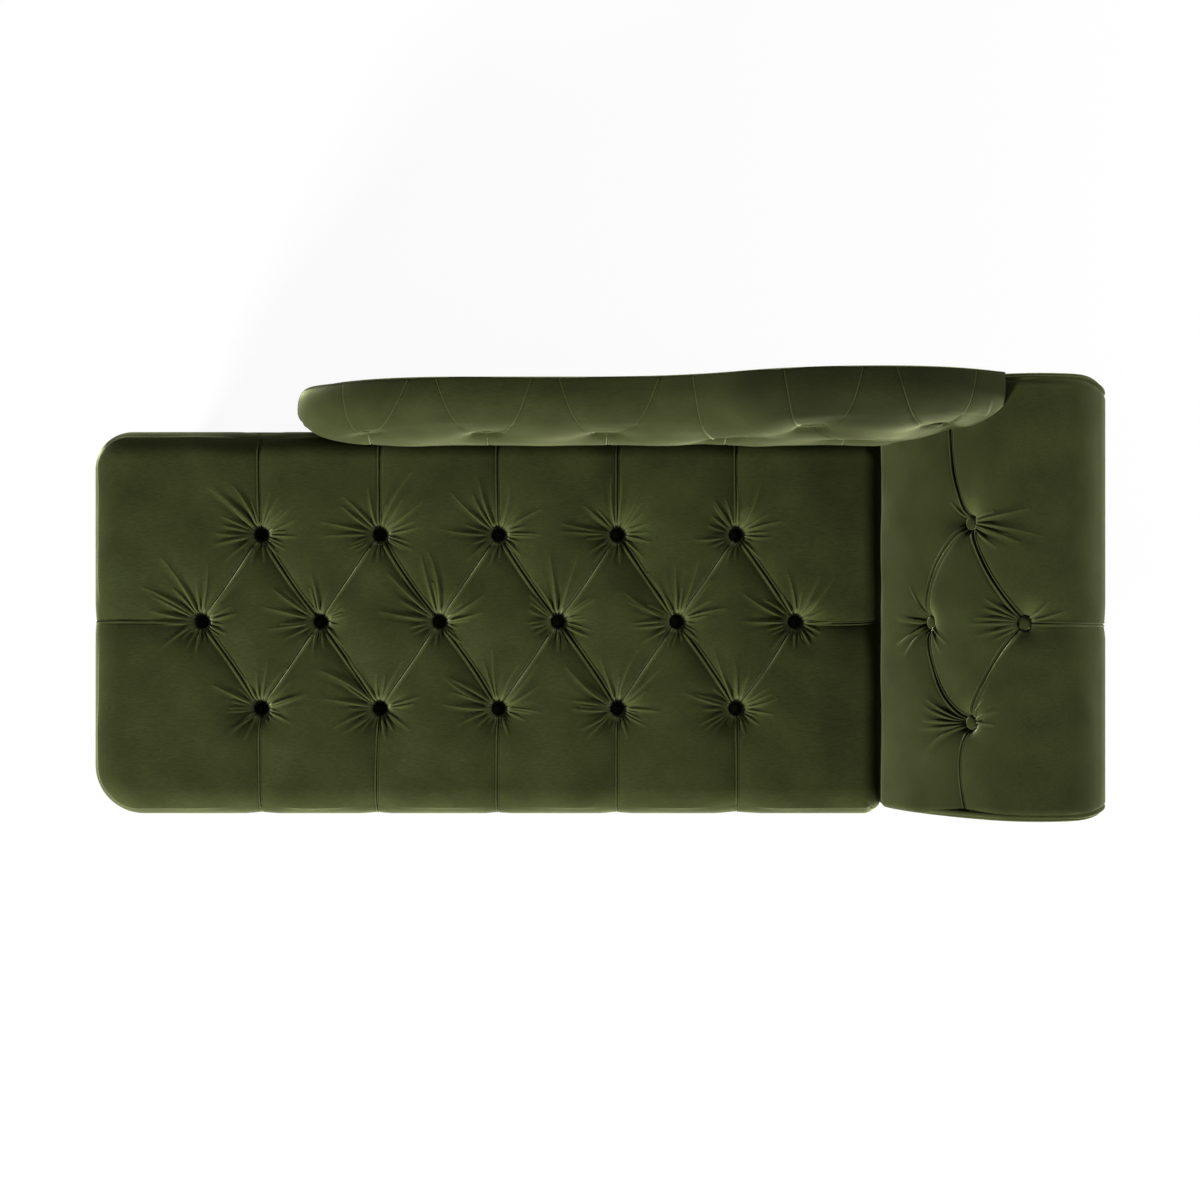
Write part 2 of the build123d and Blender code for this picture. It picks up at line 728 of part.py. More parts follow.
arm_bolts = []
for y in (between_front + bolt_beside_rail, between_rear - bolt_beside_rail):
    x0 = post_inner - rail_thickness
    x1 = post_inner + rail_thickness
    head_from = (x0 - bolt_head_thickness, y, bolt_z)
    nut_to = (x1 + bolt_head_thickness, y, bolt_z)
    arm_bolts.append(frame_bolt((x0, y, bolt_z), (x1, y, bolt_z), head_from, nut_to))
back_bolts = []
bolt_slots = []
for x in [*(x + bolt_beside_rail for x in cross_x), post_inner - rail_thickness - bolt_beside_rail]:
    head_from = (x, between_rear - bolt_head_thickness, bolt_z)
    nut_to = (x, back_frame_rear, bolt_z)
    back_bolts.append(frame_bolt((x, between_rear, bolt_z), nut_to, head_from, nut_to))
    half = bolt_slot_width / 2
    bolt_slots.append(box(x - half, x + half, frame_rear, back_frame_front, bolt_z - half, bolt_z + half))
head_rail = head_rail - arm_bolts
arm_rails["arm_inner_rail"] = arm_rails["arm_inner_rail"] - arm_bolts
rear_rail = rear_rail - back_bolts
border = border - bolt_slots
back_deck = back_deck - bolt_slots
back_bottom_rail = back_bottom_rail - back_bolts

# Dust cover under the frame
cover_top = leg_height
cover_bottom = leg_height - dust_cover_thickness
seat_cloth = box(
    frame_foot + dust_cover_inset,
    post_inner,
    frame_front + dust_cover_inset,
    frame_rear - dust_cover_inset,
    cover_bottom,
    cover_top,
)
arm_cloth = box(
    post_inner,
    panel_inner - dust_cover_inset,
    board_front + dust_cover_inset,
    board_rear - dust_cover_inset,
    cover_bottom,
    cover_top,
)
leg_holes = []
for x, y, to_x, to_y in leg_corners().values():
    at_x = x + to_x * leg_inset
    at_y = y + to_y * leg_inset
    half = leg_top_width / 2 + dust_cover_clearance
    leg_holes.append(box(at_x - half, at_x + half, at_y - half, at_y + half, cover_bottom, cover_top))
dust_cover = seat_cloth + arm_cloth - leg_holes

nodes["seat_front_rail"] = front_rail
nodes["seat_rear_rail"] = rear_rail
nodes["seat_foot_rail"] = foot_rail
nodes["seat_head_rail"] = head_rail
for i, rail in enumerate(cross_rails):
    nodes[f"seat_cross_rail_{i + 1}"] = rail
nodes["corner_blocks"] = together(corner_blocks)
nodes["seat_webbing"] = together(straps)
nodes["seat_insulator"] = insulator
nodes["seat_foam"] = foam
nodes["seat_cover"] = seat_cover
nodes["seat_border"] = border
nodes["seat_buttons"] = together([button(spot, seat_up, seat_tuft_depth) for spot in seat_places])
nodes["seat_twines"] = together(seat_twines)
nodes["seat_toggles"] = together(seat_toggles)
nodes["dust_cover"] = dust_cover
for name, leg in legs.items():
    nodes[f"leg_{name}"] = leg
nodes["leg_glides"] = together(glides)
nodes["leg_bolts"] = together(leg_bolts)
nodes.update(arm_boards)
nodes.update(arm_rails)
nodes["arm_deck"] = arm_deck
nodes["arm_cover"] = arm_cover
nodes["arm_front_facing"] = along_y(facing, arm_front, board_front)
nodes["arm_rear_facing"] = along_y(facing, board_rear, y_rear)
nodes["arm_outer_panel"] = arm_panel
nodes["arm_buttons"] = together([button(spot, out, arm_tuft_depth) for spot, out in arm_places])
nodes["arm_twines"] = together(arm_twines)
nodes["arm_toggles"] = together(arm_toggles)
nodes["arm_bolts"] = together(arm_bolts)
nodes["back_bottom_rail"] = back_bottom_rail
nodes["back_top_rail"] = back_top_rail
for i, post in enumerate(back_posts):
    nodes[f"back_post_{i + 1}"] = post
nodes["back_deck"] = back_deck
nodes["back_cover"] = back_cover
nodes["back_rear_panel"] = back_panel
nodes["back_buttons"] = together([button(spot, back_out, back_tuft_depth) for spot in back_places])
nodes["back_twines"] = together(back_twines)
nodes["back_toggles"] = together(back_toggles)
nodes["back_bolts"] = together(back_bolts)

os.makedirs("parts", exist_ok=True)
for name, shape in nodes.items():
    export_step(shape, f"parts/{name}.step")
print(f"{len(nodes)} nodes, {len(seat_places) + len(arm_places) + len(back_places)} buttons")
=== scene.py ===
import math

import bmesh
import bpy
import numpy as np
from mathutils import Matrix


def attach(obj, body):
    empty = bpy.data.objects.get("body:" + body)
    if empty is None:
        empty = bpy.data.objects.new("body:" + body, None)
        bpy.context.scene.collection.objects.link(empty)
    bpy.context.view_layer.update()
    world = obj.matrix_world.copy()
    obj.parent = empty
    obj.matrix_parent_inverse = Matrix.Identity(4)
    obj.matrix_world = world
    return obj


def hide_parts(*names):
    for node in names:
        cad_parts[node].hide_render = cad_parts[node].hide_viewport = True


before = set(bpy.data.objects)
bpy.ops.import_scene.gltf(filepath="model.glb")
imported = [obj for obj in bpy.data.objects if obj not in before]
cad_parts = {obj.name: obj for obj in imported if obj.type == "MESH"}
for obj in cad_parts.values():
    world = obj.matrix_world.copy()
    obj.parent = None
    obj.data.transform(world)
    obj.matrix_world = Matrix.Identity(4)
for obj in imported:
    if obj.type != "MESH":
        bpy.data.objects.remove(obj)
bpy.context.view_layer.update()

# Places of the upholstery, in metres, in the frame of the CAD
SEAT_TOP = 0.440
FOAM_TOP = 0.320
LEG_TOP = 0.130
X_FOOT, SEAT_END = -0.858, 0.5033
Y_FRONT, SEAT_REAR = -0.368, 0.300
SEAT_MIDDLE = (Y_FRONT + SEAT_REAR) / 2
COVER_FOOT, COVER_FRONT, COVER_REAR = -0.8545, -0.366, 0.2952
CORNER, FRONT_CORNER, TOP_ROUND, BOTTOM_ROUND = 0.065, 0.085, 0.048, 0.012
TUCK, TUCK_DROP, HEAD_CORNER = 0.034, 0.026, 0.028
SEAT_DEEP = SEAT_TOP - FOAM_TOP
BORDER_INSET = 0.016
SEAT_PITCH, SEAT_ROW = 0.205, 0.150
MIDDLE_FIRST, SIDE_FIRST = -0.668, -0.5655

ARM_INNER, ARM_FOOT, SWEEP_START = 0.5043, 0.250, 0.445
ROLL_X, ROLL_Z, ROLL_R = 0.730, 0.590, 0.128
SWEEP_X, SWEEP_Z, SWEEP_R = 1.00719, 0.31281, 0.520
SWEEP_JOIN = 135.0
SWEEP_ANGLE = 180 - math.degrees(math.asin((SWEEP_START - SWEEP_Z) / SWEEP_R))
SWEEP_LENGTH = SWEEP_R * math.radians(SWEEP_ANGLE - SWEEP_JOIN)
STRAIGHT = SWEEP_START - ARM_FOOT
POST_OUTER, PANEL_INNER = 0.775, 0.767
ARM_FRONT, BOARD_FRONT = -0.352, -0.344
BOARD_REAR, Y_REAR = 0.360, 0.368
ARM_PAD, END_ROUND, FACING_INSET = 0.040, 0.012, 0.006

BACK_FOOT, BACK_HEAD = -0.497, 0.668
BACK_FRONT, BACK_DECK, BACK_REAR = 0.266, 0.301, 0.348
BACK_BOTTOM, BACK_PAD_BOTTOM = 0.145, 0.442
BACK_LOW, BACK_HIGH = 0.652, 0.845
HUMP, VALLEY = 0.4623, 0.0003
TIP_R, FALL_R = 0.285, 0.248
TIP_X, TIP_Z = BACK_FOOT + TIP_R, BACK_LOW - TIP_R
CYMA_HALF = (HUMP + VALLEY) / 2
CYMA_R = (0.462**2 + (BACK_HIGH - BACK_LOW) ** 2) / (4 * (BACK_HIGH - BACK_LOW))
BUTTON_BACK = 0.2925
SWELL, SWELL_FOOT, SWELL_LEAST, SWELL_POWER = 0.200, 0.060, 0.05, 2.2
DECK_PAD, DECK_RIM, RIM_FORWARD = 0.0495, 0.038, 0.018
EDGE_ROWS, PAD_ROWS, FOOT_LEAN, FOOT_INSET = 9, 60, 0.013, 0.022
BACK_PITCH, LOW_ROW, HIGH_ROW = 0.20108, 0.532, 0.6824
BACK_SPOTS = [(-0.371 + BACK_PITCH * i, LOW_ROW) for i in range(5)]
BACK_SPOTS += [(HUMP - BACK_PITCH / 2, HIGH_ROW), (HUMP + BACK_PITCH / 2, HIGH_ROW)]

BUTTON_R = 0.011
WELT_R = 0.0042


def ease(t):
    """A smooth step from 0 to 1."""
    t = np.clip(t, 0.0, 1.0)
    return t * t * (3 - 2 * t)


def bell(t, centre=0.0, width=1.0):
    """A smooth bump, 1 at its centre."""
    return np.exp(-(((t - centre) / width) ** 2))


def turned_in(t):
    """How far a quarter round has turned in at a share t of it."""
    return 1 - np.sqrt(1 - t**2)


def arc(radius, across):
    """Height of a circle over its centre at a distance across."""
    return np.sqrt(np.maximum(radius**2 - across**2, 0))


def join(*parts):
    """Arrays or numbers as the coordinates of points."""
    return np.stack(np.broadcast_arrays(*parts), axis=-1)


def unit(vectors):
    """Vectors at a length of 1."""
    return vectors / np.maximum(np.linalg.norm(vectors, axis=-1, keepdims=True), 1e-12)


# Meshes


def add_object(name, data):
    """An object in the scene."""
    thing = bpy.data.objects.new(name, data)
    bpy.context.scene.collection.objects.link(thing)
    return thing


def make_piece(name, points, faces, material, flat=0, painted_light=None):
    """A mesh object from points and faces. The last faces, flat in number, aren't smoothed."""
    mesh = bpy.data.meshes.new(name)
    mesh.from_pydata(np.asarray(points).tolist(), [], faces)
    smooth = np.ones(len(faces), dtype=bool)
    if flat:
        smooth[-flat:] = False
    mesh.polygons.foreach_set("use_smooth", smooth)
    mesh.materials.append(material)
    # Per-point painted light for the velvet: painted shade above 0, painted highlight below 0
    if painted_light is not None:
        kept = mesh.attributes.new("painted_light", "FLOAT", "POINT")
        kept.data.foreach_set("value", painted_light.astype(np.float32))
    mesh.validate()
    mesh.update()
    piece = add_object(name, mesh)
    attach(piece, "root")
    return piece


def quads(index):
    """Quads over a lattice of point numbers."""
    corners = [index[:-1, :-1], index[1:, :-1], index[1:, 1:], index[:-1, 1:]]
    return np.stack(corners, axis=-1).reshape(-1, 4)


def lattice(rows, columns, first=0, wrap=False):
    """Quads over a lattice of rows by columns points. wrap joins the last column to the first."""
    index = first + np.arange(rows * columns).reshape(rows, columns)
    if wrap:
        index = np.hstack([index, index[:, :1]])
    return quads(index).tolist()


def turned(faces):
    """Faces with the other side out."""
    return [face[::-1] for face in faces]


def flip_outward(piece):
    """Turns a closed mesh's faces outward."""
    work = bmesh.new()
    work.from_mesh(piece.data)
    bmesh.ops.recalc_face_normals(work, faces=work.faces)
    work.to_mesh(piece.data)
    work.free()


def wrap_rings(name, rings, material):
    """A closed velvet piece from rings of points in an array, flat at its first and last ring."""
    rows, columns = rings.shape[:2]
    at = np.arange(rows * columns).reshape(rows, columns)
    caps = [at[0].tolist(), at[-1, ::-1].tolist()]
    faces = lattice(rows, columns, wrap=True) + caps
    piece = make_piece(name, rings.reshape(-1, 3), faces, material, len(caps))
    flip_outward(piece)
    return piece


def surface_normals(grid):
    """Unit normals of a lattice of points, from its own directions."""
    return unit(np.cross(np.gradient(grid, axis=0), np.gradient(grid, axis=1)))


def graded(start, end, spots, reach, fine=0.0016, coarse=0.0036):
    """Stations from start to end, fine near the spots and coarse between them."""
    stations = [start]
    while stations[-1] < end:
        away = min(abs(stations[-1] - spot) for spot in spots)
        stations.append(stations[-1] + fine + (coarse - fine) * float(ease((away - reach) / reach)))
    stations = np.array(stations)
    return start + (stations - start) * (end - start) / (stations[-1] - start)


# Tufting: what buttons and pleats do to a padded surface that is laid out flat

# Beside a button a painted highlight lies towards LIT and painted shade away from DIM
LIT, DIM = (0.77, 0.64), (0.94, 0.34)
PLEAT_START = 0.010
LAP, BED, BED_WIDTH, TROUGH = 0.0018, 0.0042, 0.0050, 1.9
FOLD_WIDTH, FOLD_RISE, FOLD_NEAR, FOLD_TUCK, GAP_DEPTH = 0.0085, 0.0036, 0.022, 0.0036, 0.0030
# Across a fold: the middle and width of its two ridges and of the gap between them
FOLD_MAIN, FOLD_MINOR, FOLD_GAP = (-0.0020, 0.0016), (0.0046, 0.0020), (0.0012, 0.0014)
CREST_WIDTH, CREST_RISE, CREST_TUCK = 0.0014, 0.0018, 0.0022


def wrinkle_width(r):
    """Half the width of a wrinkle at a distance from its button."""
    return 0.0010 + 0.045 * r


def wrinkle_fade(r, length):
    """How much of a wrinkle is left at a distance from its button."""
    return ease((r - 0.009) / 0.007) * np.clip(1 - r / length, 0, 1) ** 1.2


class Tufting:
    """Buttons and pleats in flat coordinates, and the relief that they leave on the padding.

    crown, pleat, reach, funnel and throat shape the padding. fold and minor scale the crisp folds,
    edge those that run to an edge. A lobe strength, 0 at first, sets the painted highlight and painted
    shade beside the buttons.
    """

    def __init__(self, seed, crown, pleat, reach, funnel, throat, fold=1.0, minor=0.35):
        self.random = np.random.default_rng(seed)
        self.crown, self.pleat, self.reach = crown, pleat, reach
        self.funnel, self.throat, self.fold, self.minor = funnel, throat, fold, minor
        self.edge = 0.75
        self.mottle_and_lobe_light = 0.0
        self.buttons = []
        self.funnels = []
        self.pleats = []
        self.gathers = []

    def add_button(self, spot, depth, open_up=1.0, slot=0.0):
        """A button drawn in by depth. slot widens its funnel, open_up under 1 lengthens it to low v."""
        self.buttons.append((np.array(spot), depth))
        self.funnels.append((open_up, slot))

    def add_pleat(self, start, end, end_depth=1.0, bend=None, scale=1.0):
        """A pleat from a button to a button, or to an edge where end_depth of its depth is left."""
        if bend is None:
            bend = self.random.uniform(-0.004, 0.004)
        self.pleats.append((np.array(start), np.array(end), end_depth, bend, scale))

    def add_wrinkle(self, spot, angle, length, rise, curve):
        """A wrinkle that runs out from a button."""
        self.gathers.append((np.array(spot), angle, length, rise, curve))

    def add_gathers(self, count, rise, spread, lean):
        """Wrinkles that fan out from each button, between its pleats, longest towards lean."""
        for spot, _ in self.buttons:
            taken = []
            for start, end, *_ in self.pleats:
                for here, there in ((start, end), (end, start)):
                    if np.hypot(*(here - spot)) < 0.002:
                        taken.append(math.atan2(there[1] - here[1], there[0] - here[0]))
            taken = np.array(taken)
            verve = self.random.uniform(0.6, 1.0)
            angles = np.linspace(-math.pi, math.pi, count, endpoint=False)
            for angle in angles + self.random.uniform(-0.10, 0.10, count):
                favour = 0.40 + 0.60 * math.cos((angle - lean) / 2) ** 2
                length = spread * favour * self.random.uniform(0.40, 1.0)
                tall = rise * verve * self.random.uniform(0.4, 1.0)
                curve = self.random.uniform(-2.5, 2.5)
                if np.abs(np.angle(np.exp(1j * (taken - angle)))).min() > 0.10:
                    self.add_wrinkle(spot, angle, length, tall, curve)

    def along(self, pleat, u, v):
        """How far along a pleat, how far beside it and how far past its ends points are."""
        start, end, _, bend, _ = pleat
        length = np.hypot(*(end - start))
        ahead = (end - start) / length
        t = (u - start[0]) * ahead[0] + (v - start[1]) * ahead[1]
        q = (v - start[1]) * ahead[0] - (u - start[0]) * ahead[1]
        q = q - bend * np.sin(math.pi * np.clip(t / length, 0, 1))
        return t, q, np.maximum(np.maximum(-t, t - length), 0), length

    def plain(self, u, v):
        """Height of the padding over the plain surface, without its folds and wrinkles."""
        sunk = np.zeros_like(u)
        lap = np.zeros_like(u)
        for pleat in self.pleats:
            t, q, beyond, length = self.along(pleat, u, v)
            depth = self.pleat * pleat[4] * (1 + (pleat[2] - 1) * ease(t / length))
            sunk += (depth * np.exp(-np.hypot(q, beyond) / self.reach)) ** 3
            over = (0.5 + 0.5 * np.tanh(q / 0.002)) * np.exp(-np.abs(q) / 0.014)
            lap += LAP * self.fold * pleat[4] * over * ease(t / 0.03) * (beyond <= 0)
        for (spot, depth), (open_up, slot) in zip(self.buttons, self.funnels):
            down = v - spot[1]
            beside = np.maximum(np.abs(u - spot[0]) - slot, 0)
            r = np.maximum(np.hypot(beside, np.where(down < 0, open_up * down, down)) - BUTTON_R, 0)
            wide = (1 - self.throat) * np.exp(-r / self.funnel)
            sunk += (depth * (wide + self.throat * np.exp(-((r / 0.0055) ** 1.5)))) ** 3
        slow = 0.0009 * (np.sin(23 * u + 3 * np.sin(17 * v)) + np.sin(29 * v + 2.2 * np.sin(19 * u)))
        return self.crown - np.cbrt(sunk) + lap + slow

    def height(self, u, v):
        """Height with the wrinkles and the beds of the folds, and its painted light: painted shade in the
        creases, painted highlights on the ridges and beside the buttons.
        """
        height = self.plain(u, v)
        painted_light = np.zeros_like(u)
        for pleat in self.pleats:
            t, q, beyond, _ = self.along(pleat, u, v)
            broad = self.fold * (1.0 if pleat[2] == 1.0 else self.edge)
            bed = bell(q, 0.0, BED_WIDTH * broad) * (beyond <= 0) * ease(t / PLEAT_START)
            height -= BED * broad * bed
            # Painted shade along the bed of each fold
            painted_light = np.maximum(painted_light, 0.5 * bed)
        for spot, angle, length, rise, curve in self.gathers:
            near = np.nonzero(np.hypot(u - spot[0], v - spot[1]) < length)
            if not len(near[0]):
                continue
            du, dv = u[near] - spot[0], v[near] - spot[1]
            r = np.hypot(du, dv)
            swing = np.angle(np.exp(1j * (np.arctan2(dv, du) - angle - curve * r)))
            fade = wrinkle_fade(r, length) * (np.abs(swing) < 1.0)
            q = np.abs(r * swing / wrinkle_width(r))
            ridge, trough = np.exp(-(q**1.6)), bell(q, TROUGH)
            height[near] += rise * fade * (ridge - 0.45 * trough)
            # Painted shade in each wrinkle's trough, a painted highlight on its ridge
            painted_light[near] += fade * (0.45 * trough - 0.35 * ridge)
        for spot, _ in self.buttons:
            du, dv = u - spot[0], v - spot[1]
            r = np.maximum(np.hypot(du, dv), 1e-6)
            lit = np.maximum(du * LIT[0] + dv * LIT[1], 0) / r
            dim = np.maximum(-du * DIM[0] - dv * DIM[1], 0) / r
            # Painted highlight towards LIT and painted shade away from DIM beside each button
            painted_light -= self.mottle_and_lobe_light * 1.8 * lit**1.2 * bell(r, 0.024, 0.018)
            painted_light += self.mottle_and_lobe_light * 0.7 * dim**2 * bell(r, 0.022, 0.020)
        return height, painted_light

    def folds(self):
        """The crisp fold along each pleat: strips of flat points with their lift and painted light."""
        strips = []
        for start, end, end_depth, bend, scale in self.pleats:
            length = np.hypot(*(end - start))
            ahead = (end - start) / length
            beside = np.array([-ahead[1], ahead[0]])
            side = math.copysign(1.0, ahead[0] if abs(ahead[0]) > 0.1 else -ahead[1])
            to_button = end_depth == 1.0
            stop = length - (PLEAT_START if to_button else 0.0)
            t = np.linspace(PLEAT_START, stop, max(round(length / 0.003), 8))[:, None]
            near = np.exp(-t / FOLD_NEAR) + (np.exp(-(length - t) / FOLD_NEAR) if to_button else 0.0)
            edge = 1.0 if to_button else self.edge
            spread = self.fold * edge * (1 + 0.5 * near)
            across = np.linspace(-1, 1, 25)[None]
            q = across * FOLD_WIDTH * spread
            over = side * q / spread
            rise = self.fold * (FOLD_RISE + 0.0020 * near) * (1 + (end_depth - 1) * ease(t / length))
            rise = rise * edge * min(1.0, 2 * scale) * (0.80 + 0.20 * np.sin(t * 70 + 7 * bend / 0.004))
            main = bell(over, *FOLD_MAIN)
            minor = self.minor * bell(over, *FOLD_MINOR)
            gap = bell(over, *FOLD_GAP)
            lift = rise * (main + minor) - GAP_DEPTH * self.fold * edge * gap
            lift = lift - FOLD_TUCK * self.fold * ease((np.abs(across) - 0.70) / 0.30)
            # Painted shade in the gap between the ridges, a painted highlight on the main ridge
            painted_light = min(1.0, 2 * scale) * edge * ((0.40 + 1.3 * self.minor) * gap - 0.7 * main)
            shift = bend * np.sin(math.pi * t / length)
            u = start[0] + ahead[0] * t + beside[0] * (q + shift)
            v = start[1] + ahead[1] * t + beside[1] * (q + shift)
            strips.append((u, v, lift, painted_light))
        return strips

    def wrinkles(self):
        """A crisp crest along each wrinkle: strips of flat points with their lift and painted light."""
        strips = []
        across = np.linspace(-1, 1, 9)[None]
        for spot, angle, length, rise, curve in self.gathers:
            r = np.linspace(0.012, 0.9 * length, max(round(length / 0.0035), 8))[:, None]
            way = angle + curve * r
            fade = wrinkle_fade(r, length)
            wide = wrinkle_width(r)
            q = across * (0.0030 + 0.5 * wide)
            u = spot[0] + r * np.cos(way) - q * np.sin(way)
            v = spot[1] + r * np.sin(way) + q * np.cos(way)
            crest = bell(q, 0.0, CREST_WIDTH)
            lift = fade * (rise * np.exp(-(np.abs(q / wide) ** 1.6)) + CREST_RISE * crest)
            lift = lift - CREST_TUCK * ease((np.abs(across) - 0.5) / 0.5)
            # A painted highlight along the crest, weaker on the side away from DIM
            dim = max(-DIM[0] * math.cos(angle) - DIM[1] * math.sin(angle), 0)
            tone = 1 - 1.3 * self.mottle_and_lobe_light * dim**2
            strips.append((u, v, lift, -tone * np.sqrt(fade) * crest))
        return strips


def fold_mesh(strips, place, first):
    """Points, quads and painted light of fold strips. place turns flat coordinates and a lift into
    points.
    """
    u, v, lift, painted_light = (np.concatenate([strip[n].ravel() for strip in strips]) for n in range(4))
    faces = []
    for strip in strips:
        faces += lattice(*strip[0].shape, first)
        first += strip[0].size
    return place(u, v, lift), faces, painted_light


# Materials


def add_node(tree, kind, values=None, links=None):
    """A shader node with values and links at its inputs."""
    node = tree.nodes.new("ShaderNode" + kind)
    for name, value in (values or {}).items():
        node.inputs[name].default_value = value
    for name, source in (links or {}).items():
        tree.links.new(source, node.inputs[name])
    return node


def new_material(name, colour, roughness, specular=0.3):
    """A material, its node tree and its shader."""
    material = bpy.data.materials.new(name)
    material.use_nodes = True
    tree = material.node_tree
    shader = tree.nodes["Principled BSDF"]
    shader.inputs["Base Color"].default_value = (*colour, 1)
    shader.inputs["Roughness"].default_value = roughness
    shader.inputs["Specular IOR Level"].default_value = specular
    return material, tree, shader


def add_noise(tree, scale, detail, stretch=(1.0, 1.0, 1.0)):
    """Noise in object coordinates, stretched along the axes."""
    place = add_node(tree, "TexCoord").outputs["Object"]
    mapped = add_node(tree, "Mapping", {"Scale": stretch}, {"Vector": place}).outputs["Vector"]
    noise = add_node(tree, "TexNoise", {"Scale": scale, "Detail": detail}, {"Vector": mapped})
    return noise.outputs["Fac"]


def add_ramp(tree, factor, low, high, start=0.3, end=0.7):
    """A colour between two, by a factor."""
    ramp = add_node(tree, "ValToRGB", links={"Fac": factor})
    for element, place, colour in zip(ramp.color_ramp.elements, (start, end), (low, high)):
        element.position = place
        element.color = (*colour, 1)
    return ramp.outputs["Color"]


def add_bump(tree, shader, height, distance, strength):
    """Fine relief under the shader."""
    bump = add_node(tree, "Bump", {"Strength": strength, "Distance": distance}, {"Height": height})
    tree.links.new(bump.outputs["Normal"], shader.inputs["Normal"])


def multiply(tree, first, second):
    """Two colours multiplied."""
    mix = add_node(tree, "Mix")
    mix.data_type = "RGBA"
    mix.blend_type = "MULTIPLY"
    mix.inputs["Factor"].default_value = 1.0
    tree.links.new(first, mix.inputs["A"])
    tree.links.new(second, mix.inputs["B"])
    return mix.outputs["Result"]


def scale_range(tree, factor, start, end, low, high):
    """A factor mapped from one range to another, held at its ends."""
    values = {"From Min": start, "From Max": end, "To Min": low, "To Max": high}
    return add_node(tree, "MapRange", values, {"Value": factor}).outputs["Result"]


def shaded(colours, shade):
    """Colours times a shade."""
    return [tuple(part * shade for part in colour) for colour in colours]


VELVET_COLOURS = (0.0220, 0.0255, 0.0071), (0.0308, 0.0370, 0.0107)
SHEEN_COLOURS = (0.50, 0.53, 0.28), (0.60, 0.65, 0.345)
STREAKS = (0.86, 0.86, 0.86), (1.14, 1.14, 1.14)


def velvet_material(name, shade, nap_shade=1.0):
    """Cotton velvet: dark seen head on, pale at a slant, with painted shade in the creases and painted
    highlights on the ridges and beside the buttons.
    """
    material, tree, shader = new_material(name, (0.03, 0.036, 0.012), 0.85, 0.04)
    nap = add_noise(tree, 14.0, 8.0)
    grain = add_noise(tree, 1.0, 2.0, (90.0, 700.0, 700.0))
    mottle_and_lobe_light = add_ramp(tree, nap, *shaded(VELVET_COLOURS, shade))
    colour = multiply(tree, mottle_and_lobe_light, add_ramp(tree, grain, *STREAKS, 0.35, 0.65))
    tint = add_ramp(tree, nap, *shaded(SHEEN_COLOURS, nap_shade))
    # Per-point painted light on base colour and sheen tint: painted shade where the value is above 0,
    # painted highlight where it is below 0
    painted_light = add_node(tree, "Attribute")
    painted_light.attribute_name = "painted_light"
    painted_shade = scale_range(tree, painted_light.outputs["Fac"], 0.0, 1.0, 1.0, 0.10)
    painted_highlight = scale_range(tree, painted_light.outputs["Fac"], -1.0, 0.0, 2.0, 1.0)
    shade_and_highlight = multiply(tree, painted_shade, painted_highlight)
    tree.links.new(multiply(tree, colour, shade_and_highlight), shader.inputs["Base Color"])
    tree.links.new(multiply(tree, tint, shade_and_highlight), shader.inputs["Sheen Tint"])
    shader.inputs["Sheen Weight"].default_value = 1.0
    shader.inputs["Sheen Roughness"].default_value = 0.35
    add_bump(tree, shader, add_noise(tree, 900.0, 2.0), 0.0004, 0.5)
    return material


def inner_material(name, low, high, noise, roughness, distance, strength=0.5, metallic=0.0):
    """A finish clouded or grained by noise, with fine relief."""
    material, tree, shader = new_material(name, low, roughness)
    shader.inputs["Metallic"].default_value = metallic
    cloud = add_noise(tree, *noise)
    tree.links.new(add_ramp(tree, cloud, low, high), shader.inputs["Base Color"])
    add_bump(tree, shader, cloud, distance, strength)
    return material


velvet = velvet_material("velvet", 1.0)
# A darker copy of the velvet with weaker sheen for the head end and the back: painted shade
shaded_upright_velvet = velvet_material("shaded_upright_velvet", 0.80, 0.82)
trim_velvet = velvet_material("trim_velvet", 1.0, 0.6)
button_velvet = velvet_material("button_velvet", 0.75)
# A much darker copy of the velvet for the seat's buttons: painted shade of their deep holes
shaded_deep_velvet = velvet_material("shaded_deep_button_velvet", 0.35)
UPRIGHT_GRAIN = (1.0, 5.0, (70.0, 70.0, 6.0))
FINISHES = {
    "leg_wood": ((0.020, 0.011, 0.006), (0.060, 0.032, 0.017), UPRIGHT_GRAIN, 0.38, 0.0006, 0.4),
    "frame_wood": ((0.33, 0.22, 0.12), (0.48, 0.34, 0.20), UPRIGHT_GRAIN, 0.65, 0.0006, 0.4),
    "hardboard": ((0.17, 0.10, 0.06), (0.23, 0.14, 0.08), (120.0, 3.0), 0.7, 0.0004),
    "foam": ((0.62, 0.57, 0.40), (0.72, 0.67, 0.50), (220.0, 3.0), 0.95, 0.001),
    "webbing": ((0.10, 0.09, 0.08), (0.22, 0.20, 0.17), (350.0, 3.0), 0.9, 0.0006),
    "lining_cloth": ((0.015, 0.015, 0.016), (0.03, 0.03, 0.03), (500.0, 3.0), 0.95, 0.0004),
    "twine": ((0.45, 0.40, 0.30), (0.60, 0.54, 0.42), (800.0, 3.0), 0.9, 0.0003),
    "toggle_plastic": ((0.55, 0.55, 0.52), (0.62, 0.62, 0.60), (90.0, 3.0), 0.5, 0.0002),
    "glide_plastic": ((0.02, 0.02, 0.02), (0.04, 0.04, 0.04), (90.0, 3.0), 0.5, 0.0002),
    "steel": ((0.42, 0.42, 0.43), (0.55, 0.55, 0.56), (150.0, 3.0), 0.35, 0.0002, 0.5, 1.0),
}
inner_materials = {name: inner_material(name, *finish) for name, finish in FINISHES.items()}
